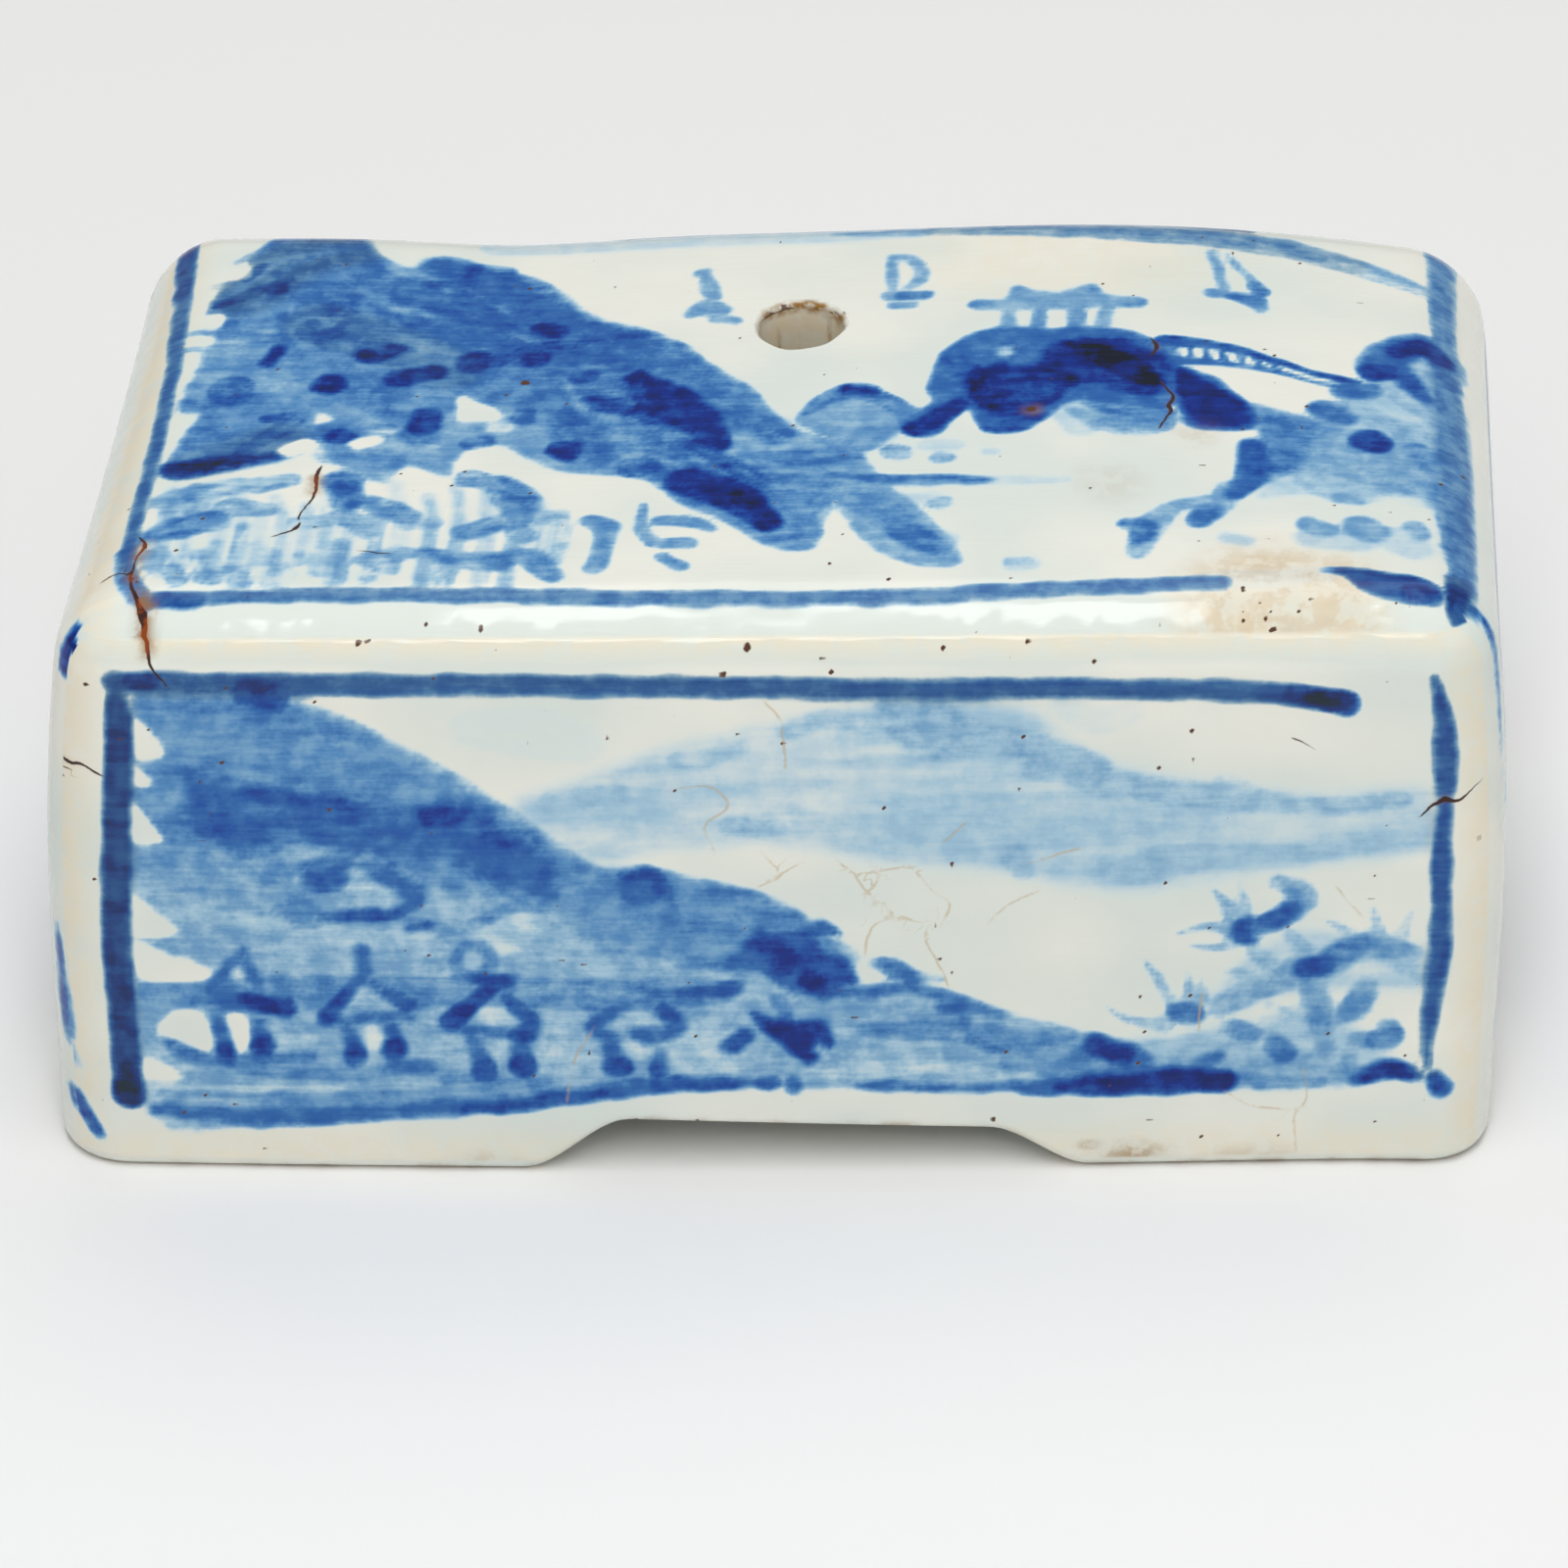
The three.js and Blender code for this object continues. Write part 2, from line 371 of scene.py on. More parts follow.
def outside_lattice():
    """The outer skin's raw box, with the top and the front cut finer for the painting."""
    bends = bend_insets(SHOULDER_RADIUS, BEND_STEPS)
    foot = bend_insets(FOOT_EDGE_RADIUS, 3)
    insets = sorted([*foot, FOOT_EDGE_RADIUS, *bends[1:], SHOULDER_RADIUS, *underside_insets()])
    xs = places(HALF_LENGTH, insets, insets, COARSE_STEP)
    ys = places(HALF_DEPTH, insets, insets, COARSE_STEP)
    low = [*foot, FOOT_EDGE_RADIUS]
    high = [*bends, SHOULDER_RADIUS]
    zs = places(HEIGHT / 2, low, high, COARSE_STEP) + HEIGHT / 2
    return box_lattice(xs, ys, zs)


def refined(points, faces):
    """The same box with the long edges of its top and front faces cut in three."""
    mesh = bpy.data.meshes.new("raw_box")
    mesh.from_pydata(points.tolist(), [], faces.tolist())
    bm = bmesh.new()
    bm.from_mesh(mesh)
    chosen = set()
    for face in bm.faces:
        is_top = all(v.co.z > HEIGHT - ON_FACE for v in face.verts)
        is_front = all(v.co.y < ON_FACE - HALF_DEPTH for v in face.verts)
        if is_top or is_front:
            chosen.update(e for e in face.edges if e.calc_length() > SHORTEST_CUT_EDGE)
    bmesh.ops.subdivide_edges(bm, edges=list(chosen), cuts=FINE_CUTS, use_grid_fill=True)
    bm.to_mesh(mesh)
    bm.free()
    return mesh


def mesh_points(mesh):
    flat = np.empty(len(mesh.vertices) * 3)
    mesh.vertices.foreach_get("co", flat)
    return flat.reshape(-1, 3)


def set_mesh_points(mesh, points):
    mesh.vertices.foreach_set("co", np.ascontiguousarray(points, dtype=np.float64).ravel())
    mesh.update()


def outside_mesh():
    mesh = refined(*outside_lattice())
    raw = mesh_points(mesh)
    rest = soften(
        raw, HALF_LENGTH, HALF_DEPTH, 0, HEIGHT, PLAN_RADIUS, SHOULDER_RADIUS, FOOT_EDGE_RADIUS,
    )
    shape_underside(raw, rest)
    raise_cut_outs(rest)
    set_mesh_points(mesh, rest)
    return mesh


def chamber_mesh():
    half_length = HALF_LENGTH - WALL
    half_depth = HALF_DEPTH - WALL
    bottom = BASE_RECESS + BASE_SLAB
    top = HEIGHT - ROOF
    insets = [*bend_insets(CHAMBER_RADIUS, BEND_STEPS), CHAMBER_RADIUS]
    xs = places(half_length, insets, insets, CHAMBER_STEP)
    ys = places(half_depth, insets, insets, CHAMBER_STEP)
    zs = places((top - bottom) / 2, insets, insets, CHAMBER_STEP) + (top + bottom) / 2
    points, faces = box_lattice(xs, ys, zs)
    rest = soften(
        points, half_length, half_depth, bottom, top,
        CHAMBER_RADIUS, CHAMBER_RADIUS, CHAMBER_RADIUS,
    )
    mesh = bpy.data.meshes.new("chamber")
    mesh.from_pydata(rest.tolist(), [], faces[:, ::-1].tolist())
    return mesh


def round_tool(name, profile, wobble):
    """A closed turned solid about Z. wobble gives a change of radius for an angle and a height."""
    angles = np.arange(HOLE_SIDES) * 2 * math.pi / HOLE_SIDES
    points = []
    for radius, height in profile:
        for angle in angles:
            held = radius + wobble(angle, height)
            points.append((held * math.cos(angle), held * math.sin(angle), height))
    faces = []
    for row in range(len(profile) - 1):
        for i in range(HOLE_SIDES):
            near = row * HOLE_SIDES
            far = near + HOLE_SIDES
            following = (i + 1) % HOLE_SIDES
            faces.append((near + i, near + following, far + following, far + i))
    faces.append(tuple(reversed(range(HOLE_SIDES))))
    faces.append(tuple(range(len(points) - HOLE_SIDES, len(points))))
    mesh = bpy.data.meshes.new(name)
    mesh.from_pydata(points, [], faces)
    tool = bpy.data.objects.new(name, mesh)
    bpy.context.scene.collection.objects.link(tool)
    return tool


def mouth_tool():
    """The mouth's bore, with a rounded lip and an edge that was pared and chipped by hand."""
    lip_low = HEIGHT - MOUTH_LIP
    arc = [
        (MOUTH_RADIUS + MOUTH_LIP * (1 - math.cos(a)), lip_low + MOUTH_LIP * math.sin(a))
        for a in (0.35, 0.7, 1.0, 1.25)
    ]
    profile = [
        (MOUTH_RADIUS, HEIGHT - ROOF - 2),
        (MOUTH_RADIUS, HEIGHT - ROOF / 2),
        (MOUTH_RADIUS, HEIGHT - 1.5),
        (MOUTH_RADIUS, HEIGHT - 1.1),
        (MOUTH_RADIUS, lip_low),
        *arc,
        (MOUTH_RADIUS + 2 * MOUTH_LIP, HEIGHT + 1),
    ]

    def wobble(angle, height):
        pared = 0.07 * math.sin(3 * angle + 0.6) + 0.05 * math.sin(7 * angle + 1.9)
        chipped = 0.07 * max(0, math.sin(angle)) * math.sin(17 * angle)
        return pared + (chipped if height > lip_low else 0)

    tool = round_tool("mouth_tool", profile, wobble)
    tool.location = (MOUTH_X, MOUTH_Y, 0)
    return tool


def pour_tool():
    """The pouring hole's drill, square to the back shoulder's curve."""
    reach = SHOULDER_RADIUS + (WALL + ROOF) / 2
    profile = [(POUR_RADIUS, -reach), (POUR_RADIUS, reach)]
    tool = round_tool("pour_tool", profile, lambda angle, height: 0.04 * math.sin(4 * angle))
    tool.rotation_euler = (-POUR_TILT, 0, 0)
    tool.location = (
        HALF_LENGTH - POUR_FROM_END,
        HALF_DEPTH - SHOULDER_RADIUS,
        HEIGHT - SHOULDER_RADIUS,
    )
    return tool


def joined(first, second):
    bm = bmesh.new()
    bm.from_mesh(first)
    bm.from_mesh(second)
    mesh = bpy.data.meshes.new("porcelain")
    bm.to_mesh(mesh)
    bm.free()
    return mesh


def pierced_body():
    """The hollow body in the true box, with its two holes, as an object."""
    body = bpy.data.objects.new("porcelain_dropper", joined(outside_mesh(), chamber_mesh()))
    bpy.context.scene.collection.objects.link(body)
    tools = [mouth_tool(), pour_tool()]
    for tool in tools:
        modifier = body.modifiers.new(tool.name, "BOOLEAN")
        modifier.object = tool
        modifier.operation = "DIFFERENCE"
        modifier.solver = "MANIFOLD"
    bpy.context.view_layer.update()
    shown = body.evaluated_get(bpy.context.evaluated_depsgraph_get())
    mesh = bpy.data.meshes.new_from_object(shown)
    body.modifiers.clear()
    body.data = mesh
    for tool in tools:
        bpy.data.objects.remove(tool)
    return body


# Brushwork

def value_noise(x, y, seed):
    """Smooth noise between 0 and 1 with a cell of 1 unit."""
    size = NOISE_TABLE
    table = np.random.RandomState(seed).rand(size, size)
    cell_x = np.floor(x).astype(int)
    cell_y = np.floor(y).astype(int)
    share_x = smoothstep(x - cell_x, 0, 1)
    share_y = smoothstep(y - cell_y, 0, 1)

    def corner(i, j):
        return table[(cell_x + i) % size, (cell_y + j) % size]

    low = corner(0, 0) * (1 - share_x) + corner(1, 0) * share_x
    high = corner(0, 1) * (1 - share_x) + corner(1, 1) * share_x
    return low * (1 - share_y) + high * share_y


def smooth_path(points, closed=False, parts=6):
    """Points along a smooth curve through the given ones."""
    p = np.array(points, float)
    count = len(p)
    if count < 3 and not closed:
        return np.linspace(p[0], p[-1], parts + 1)
    at = (lambda i: p[i % count]) if closed else (lambda i: p[min(max(i, 0), count - 1)])
    steps = np.arange(parts) / parts
    path = []
    for i in range(count if closed else count - 1):
        a, b, c, d = at(i - 1), at(i), at(i + 1), at(i + 2)
        for t in steps:
            path.append(0.5 * (
                2 * b + (c - a) * t + (2 * a - 5 * b + 4 * c - d) * t**2
                + (3 * b - a - 3 * c + d) * t**3
            ))
    if not closed:
        path.append(p[-1])
    return np.array(path)


# The layers of the painting and of the clay's marks, four to a colour attribute
ATTRIBUTES = {
    "cobalt": ("light", "mid", "deep", "ink"),
    "marks": ("rust", "stain", "craze", "speck"),
    "tone": ("wash", "warm", "biscuit", "dull"),
}


class Panel:
    """One side of the box as a sheet to paint on. u runs to the right and v upwards, in millimetres."""

    def __init__(self, layers, chosen, u, v, seed):
        self.layers = layers
        self.ids = np.nonzero(chosen)[0]
        self.seed = seed
        plain_u, plain_v = u[chosen], v[chosen]
        cell_u, cell_v = plain_u / SWAY_LENGTH, plain_v / SWAY_LENGTH
        self.u = plain_u + HAND_SWAY * (value_noise(cell_u, cell_v, seed) - 0.5)
        self.v = plain_v + HAND_SWAY * (value_noise(cell_u, cell_v, seed + 1) - 0.5)

    def near(self, path, margin):
        low = path.min(axis=0) - margin
        high = path.max(axis=0) + margin
        inside = (self.u > low[0]) & (self.u < high[0]) & (self.v > low[1]) & (self.v < high[1])
        return np.nonzero(inside)[0]

    def cover(self, layer, picked, distance, strength, edge=STROKE_EDGE):
        """Lays paint where distance is negative, with a soft edge."""
        value = np.clip(0.5 - distance / (2 * edge), 0, 1)
        value = np.minimum(value, NO_PAINT + (FULL_PAINT - NO_PAINT) * strength)
        ids = self.ids[picked]
        self.layers[layer][ids] = np.maximum(self.layers[layer][ids], value)

    def trace(self, path, picked):
        """Distance from a path, signed distance to its side, and place along it from 0 to 1."""
        u, v = self.u[picked], self.v[picked]
        best = np.full(len(picked), np.inf)
        across = np.zeros(len(picked))
        along = np.zeros(len(picked))
        for i in range(len(path) - 1):
            start, step = path[i], path[i + 1] - path[i]
            size = max(float(step @ step), TINY)
            share = np.clip(((u - start[0]) * step[0] + (v - start[1]) * step[1]) / size, 0, 1)
            off_u = u - start[0] - share * step[0]
            off_v = v - start[1] - share * step[1]
            distance = np.hypot(off_u, off_v)
            closer = distance < best
            best[closer] = distance[closer]
            side = (step[0] * (v - start[1]) - step[1] * (u - start[0])) / math.sqrt(size)
            across[closer] = side[closer]
            along[closer] = ((i + share) / (len(path) - 1))[closer]
        return best, across, along

    def stroke(self, layer, points, width, strength=1.0, streak=0.0, edge=STROKE_EDGE):
        """A brush stroke along a smooth path. width is one number, or one for each of some stations."""
        path = smooth_path(points)
        widths = np.atleast_1d(np.array(width, float))
        picked = self.near(path, widths.max() / 2 + 2 * edge)
        if len(picked) == 0:
            return
        best, across, along = self.trace(path, picked)
        half = np.interp(along, np.linspace(0, 1, len(widths)), widths) / 2
        self.seed += 2
        place_across = across / BRISTLE_WIDTH + BRISTLES_AT[0]
        bristles = value_noise(place_across, along * BRISTLE_RUNS + BRISTLES_AT[1], self.seed)
        fade = 1 - streak * smoothstep(bristles, 0.35, 0.85)
        self.cover(layer, picked, best - half, strength * fade, edge)

    def strokes(self, layer, rows, streak=0.0, edge=STROKE_EDGE):
        for points, width, strength in rows:
            self.stroke(layer, points, width, strength, streak, edge)

    def crack(self, points, width, layer="rust"):
        """A thin crack: its half width goes to a layer and the distance from it to side."""
        path = smooth_path(points)
        picked = self.near(path, CRACK_REACH)
        if len(picked) == 0:
            return
        best, across, along = self.trace(path, picked)
        widths = np.atleast_1d(np.array(width, float))
        half = np.interp(along, np.linspace(0, 1, len(widths)), widths) / 2
        beyond = np.sqrt(np.maximum(0, best**2 - across**2))
        hold = smoothstep(CRACK_REACH - best, 0, CRACK_REACH / 2)
        hold = hold * smoothstep(CRACK_END - beyond, 0, CRACK_END)
        ids = self.ids[picked]
        nearer = np.abs(across) < np.abs(self.layers["side"][ids])
        chosen = ids[nearer]
        self.layers["side"][chosen] = across[nearer]
        self.layers["rust"][chosen] = 0
        self.layers["craze"][chosen] = 0
        self.layers[layer][chosen] = (half * hold)[nearer]

    def dab(self, layer, u, v, length, width, angle=0.0, strength=1.0):
        """One press of the brush: a rounded dab, turned by an angle in degrees."""
        turn = math.radians(angle)
        reach = max(0.0, length - width) / 2
        step = np.array([math.cos(turn), math.sin(turn)]) * reach
        centre = np.array([u, v])
        self.stroke(layer, [centre - step, centre + step], (width, width * 0.9), strength)

    def dabs(self, layer, rows, strength=1.0):
        for row in rows:
            self.dab(layer, *row, strength=strength)

    def inside_of(self, outline, margin):
        """Points near a smooth outline, and their distances from it, negative inside."""
        path = smooth_path(outline, closed=True, parts=4)
        picked = self.near(path, margin)
        u, v = self.u[picked], self.v[picked]
        best = np.full(len(picked), np.inf)
        inside = np.zeros(len(picked), bool)
        for start, end in zip(path, np.roll(path, -1, axis=0)):
            step = end - start
            size = max(float(step @ step), TINY)
            share = np.clip(((u - start[0]) * step[0] + (v - start[1]) * step[1]) / size, 0, 1)
            distance = np.hypot(u - start[0] - share * step[0], v - start[1] - share * step[1])
            best = np.minimum(best, distance)
            if abs(step[1]) > TINY:
                crossing = start[0] + (v - start[1]) / step[1] * step[0]
                spans = (start[1] > v) != (end[1] > v)
                inside ^= spans & (u < crossing)
        return picked, np.where(inside, -best, best)

    def wipe(self, outline, amount=1.0):
        """Takes the paint off an area again, with a soft edge."""
        picked, distance = self.inside_of(outline, 1.0)
        keep = 1 - amount * smoothstep(-distance, -WIPE_OUTSIDE, WIPE_INSIDE)
        for layer in ("wash", "light", "mid", "deep"):
            self.layers[layer][self.ids[picked]] *= keep

    def wipes(self, rows):
        for outline, amount in rows:
            self.wipe(outline, amount)

    def fill(self, layer, outline, strength=1.0, grain=None, edge=STROKE_EDGE):
        """A filled area. grain is (angle, amount) of the brush streaks across it."""
        picked, distance = self.inside_of(outline, 2 * edge)
        u, v = self.u[picked], self.v[picked]
        held = np.full(len(picked), float(strength))
        if grain:
            angle, amount = math.radians(grain[0]), grain[1]
            along = u * math.cos(angle) + v * math.sin(angle)
            across = v * math.cos(angle) - u * math.sin(angle)
            self.seed += 2
            fine, broad = (
                value_noise(across / width + GRAIN_AT, along / length + GRAIN_AT, self.seed + step)
                for step, (width, length) in enumerate((FINE_GRAIN, BROAD_GRAIN))
            )
            held *= 1 - amount * smoothstep(0.5 * fine + 0.5 * broad, 0.3, 0.75)
        self.cover(layer, picked, distance, held, edge)


def specks(panel, places, size=0.5):
    """Small round iron specks, each (u, v)."""
    for u, v in places:
        picked = panel.near(np.array([[u, v]]), size)
        reach = np.hypot(panel.u[picked] - u, panel.v[picked] - v)
        add_soft(panel, "speck", np.clip(1 - reach / size, 0, 1), picked)


def strewn_specks(panel, count, seed):
    chance = np.random.RandomState(seed)
    low_u, high_u, low_v, high_v = panel.u.min(), panel.u.max(), panel.v.min(), panel.v.max()
    for _ in range(count):
        u = low_u + (high_u - low_u) * chance.rand()
        v = low_v + (high_v - low_v) * chance.rand()
        specks(panel, [(u, v)], 0.25 + 0.25 * chance.rand() ** 3)


def hairlines(panel, lines):
    """Fine lines in the glaze, each a list of points."""
    for points in lines:
        panel.crack(points, HAIRLINE_WIDTH, "craze")


def frame_line(panel, points, width, strength=0.85, grey=0.4):
    panel.stroke("mid", points, width, strength=strength, streak=0.25)
    panel.stroke("light", points, width)
    panel.stroke("dull", points, width, strength=grey, streak=0.4)


# The painting on the roof. u is x and v is y.

def paint_top_frame(top):
    left = [(-47.4, 24.5), (-46.8, 15), (-46.2, 5), (-45.9, -8), (-45.8, -17), (-45.1, -22), (-43.6, -25.2)]
    frame_line(top, left, (1.3, 1.0, 0.85, 0.85, 0.95), 0.8, 0.6)
    top.stroke("deep", [(-47.4, 24.5), (-47, 17)], (1.0, 0.7), 0.5, 0.4)
    top.stroke("mid", [(-45.9, -19), (-45.4, -22.6), (-44.4, -24.6)], 1.3, 0.9, 0.2)
    frame_line(
        top, [(-43, -24.7), (-25, -24.4), (-5, -24.9), (10, -24.8), (20, -24.2), (30.8, -23.8)],
        (0.95, 1.0, 0.95, 1.1, 1.2), 0.68, 0.55,
    )
    top.stroke("deep", [(-42.6, -24.8), (-40, -24.8)], 1.1, 0.6, 0.3)
    top.stroke("wash", [(30, -23.6), (38, -22.8)], 1.6, 0.25)
    corner = [
        (37.8, -22.2), (39.6, -22.1), (42.1, -22.5), (44.3, -23.2), (45.9, -24.4), (45.7, -25.2),
        (44.4, -25.5), (42.1, -25), (40.5, -24.2), (39.4, -23),
    ]
    top.fill("light", corner, 0.9)
    top.fill("mid", corner, 1.0)
    top.fill("deep", corner, 0.75, grain=(-12, 0.5))
    top.stroke("ink", [(43.8, -24.6), (45.4, -25)], 1.0, 0.5, 0.4)
    top.stroke("dull", [(40, -23), (45, -25)], 2.6, 0.5)
    frame_line(
        top, [(46.9, 25), (47, 15), (47.1, 5), (47.4, -6), (47.6, -16), (47.6, -23)],
        (2.0, 1.6, 1.5, 2.0, 2.0, 1.6), 0.5, 0.12,
    )
    top.stroke("mid", [(47.3, -22.6), (47.2, -25.8)], (2.0, 1.6), 0.95, 0.3)
    top.stroke("deep", [(47.2, -23.8), (46.9, -25.6)], (1.4, 1.1), 0.7, 0.3)
    top.stroke("ink", [(47.1, -24.4), (47, -25.2)], 0.8, 0.35)
    top.stroke("dull", [(47.2, -23.2), (47, -26)], 2.2, 0.8)
    top.stroke("wash", [(-24, 24), (-5, 23.8), (8, 24.2)], 2.4, 0.6)
    top.stroke(
        "light", [(-24, 25.6), (-10, 25.6), (4, 25.8), (20, 25.8), (30, 25)], (0.3, 1.4, 1.8, 1.8, 0.6),
        0.95, 0.2,
    )
    far_edge = [(-14, 26), (-6, 26.3), (6, 26.5), (18, 26.3), (28, 25.6), (33, 24.6)]
    top.stroke("mid", far_edge, (0.2, 1.0, 1.7, 1.8, 1.4, 0.2), 0.9, 0.3)
    top.stroke("deep", far_edge, (0.1, 0.6, 1.0, 1.2, 0.8, 0.1), 0.35, 0.4)
    top.stroke("dull", far_edge, 2.0, 0.8)
    top.stroke(
        "light", [(2, 24.1), (14, 24.1), (26, 23.4), (34, 22.4), (40, 20.6), (45.6, 18)],
        (0.8, 2.4, 3.0, 2.8, 2.4, 1.6), 0.85, 0.35,
    )
    top.stroke("mid", [(14, 24.4), (24, 23.8), (33, 22.6), (38, 21.2)], (0.8, 1.6, 1.4, 0.8), 0.4, 0.5)
    top.stroke("dull", [(10, 24.2), (26, 23.4), (40, 20.6)], 2.6, 0.4)


def paint_great_mountain(top):
    body = [
        (-44.6, -9.2), (-44.2, -4), (-43.4, -0.8), (-45, 0.2), (-44.3, 6), (-44.6, 13), (-43.6, 18),
        (-41.6, 23), (-40.4, 26), (-38.2, 27.6), (-35.6, 26.2), (-33.6, 23.2), (-30.3, 20.3),
        (-28.5, 21.6), (-26.8, 22.1), (-24.6, 21), (-21.5, 19.7), (-19.4, 18.2), (-17.6, 15),
        (-15.2, 12.3), (-11.9, 11.2), (-8.2, 8.3), (-6, 5.2), (-3, 2.2), (-0.3, -2.8), (4.5, -5.6),
        (5.2, -9), (2.4, -12.6), (2.8, -18.4), (0.4, -19.4), (-4, -15.6), (-7.6, -12.8), (-10, -9.8),
        (-13.6, -8.9), (-17.4, -7.8), (-20.4, -5), (-22.6, -4.6), (-24.2, -6.6), (-24.4, -9),
        (-27.4, -7.6), (-29, -9.8), (-33, -6.8), (-34.4, -4.4), (-36.4, -7), (-41, -8.8),
    ]
    top.fill("light", body, 0.95, grain=(8, 0.25))
    top.fill("mid", body, 0.62, grain=(10, 0.75), edge=0.8)
    # Broad strokes down the slopes
    for points, width, strength in (
        ([(-37, 25), (-34, 18), (-31, 15)], 5.5, 0.75),
        ([(-38, 19), (-37, 12), (-34, 7)], 5.0, 0.75),
        ([(-30, 16), (-24, 11), (-18, 8)], 6.0, 0.8),
        ([(-28, 20.6), (-22.4, 18), (-18, 13), (-13.6, 9)], 3.0, 0.95),
        ([(-24, 17), (-18, 11), (-11, 6), (-5, -1)], 6.0, 0.9),
        ([(-19, 6), (-16, 0), (-14, -6)], 4.0, 0.7),
        ([(-12, 8), (-6, 2), (-1, -4)], 3.0, 0.7),
        ([(-8, -8), (-4, -11), (1, -12)], 5.0, 0.7),
        ([(-38, 6), (-33, 4), (-29, 0)], 3.0, 0.4),
        ([(-30, 2), (-27, -3)], 3.4, 0.7),
        ([(-33, -6), (-29, -7)], 2.4, 0.5),
    ):
        top.stroke("mid", points, width, strength, 0.35, edge=1.1)
    top.strokes("deep", (
        ([(-30, 15.6), (-25, 13.6), (-19, 12.4), (-15, 9.6)], (2.0, 3.0, 3.4, 2.4), 0.3),
        ([(-27, 20.2), (-21, 17.6), (-17.4, 13.6)], (1.2, 2.6, 1.8), 0.32),
        ([(-36, 21), (-34.6, 13), (-31, 9)], (2.0, 2.6, 2.0), 0.22),
        ([(-22, 9), (-15.6, 6.6), (-12, 5)], (2.4, 3.0, 2.0), 0.3),
        ([(-13, 2), (-9, -4), (-5, -9)], (2.0, 3.4, 3.0), 0.3),
        ([(-17, -1), (-15, -5)], 2.4, 0.25),
    ), 0.5, 1.0)
    top.strokes("dull", (
        ([(-42.6, 16), (-39, 21), (-34, 24)], 5.0, 0.7),
        ([(-36, 12), (-30, 9), (-26, 6)], 4.0, 0.35),
        ([(-43, -8), (-37, -4)], 3.0, 0.5),
    ), 0.5, 1.2)
    paint_mountain_darks(top)
    paint_mountain_edge(top)


def paint_mountain_edge(top):
    """The ragged left edge, and bare porcelain left between the strokes."""
    for outline in (
        [(-24.6, 2.2), (-23.4, 1.4), (-21.8, 0.2), (-21.4, -0.8), (-23.0, -1.2), (-24.3, -1.0)],
        [(-43.6, 22.4), (-42.2, 19.6), (-42.6, 18.4), (-44.6, 18.6)],
        [(-44.9, 12.8), (-43.4, 13.2), (-43.7, 11.4), (-45, 11.2)],
        [(-45.6, 10.0), (-43.9, 10.0), (-44.2, 8.9), (-45.6, 9.0)],
    ):
        top.wipe(outline)
    top.wipes((
        ([(-34.9, -1.6), (-34.5, -0.6), (-33.5, -1.3), (-34.6, -1.9)], 0.7),
        ([(-37, -5.4), (-35.4, -4.0), (-34.6, -4.4), (-35, -5.6), (-36.2, -6.4)], 1.0),
        ([(-32, -4.4), (-30.2, -3.6), (-29.6, -4.3), (-31.2, -5.4)], 0.8),
        ([(-30.6, -2.8), (-28.6, -2.2), (-28.8, -3.2)], 0.5),
        ([(-21.9, -1.0), (-20.2, -1.6), (-20.8, -3), (-22.2, -2.6)], 0.45),
        ([(-17, 4.6), (-15.8, 2), (-14.6, -0.6), (-15.4, -0.8), (-16.6, 1.6)], 0.35),
        ([(-31, 14.4), (-29, 13.4), (-27.4, 13.2), (-29, 14.8)], 0.3),
        ([(-38, 12.6), (-35.6, 13), (-34.8, 11.6), (-37, 11)], 0.25),
    ))
    for points in (
        [(-45.9, 10.7), (-43.6, 10.9)],
        [(-46, 8.5), (-43.6, 8.3)],
        [(-44.6, 17.2), (-42.6, 18.2), (-41.2, 20.6)],
        [(-43.4, 20.8), (-41.6, 22.4)],
        [(-44.4, 15), (-42.2, 16.4)],
    ):
        top.stroke("light", points, 0.7, 0.7, 0.3)


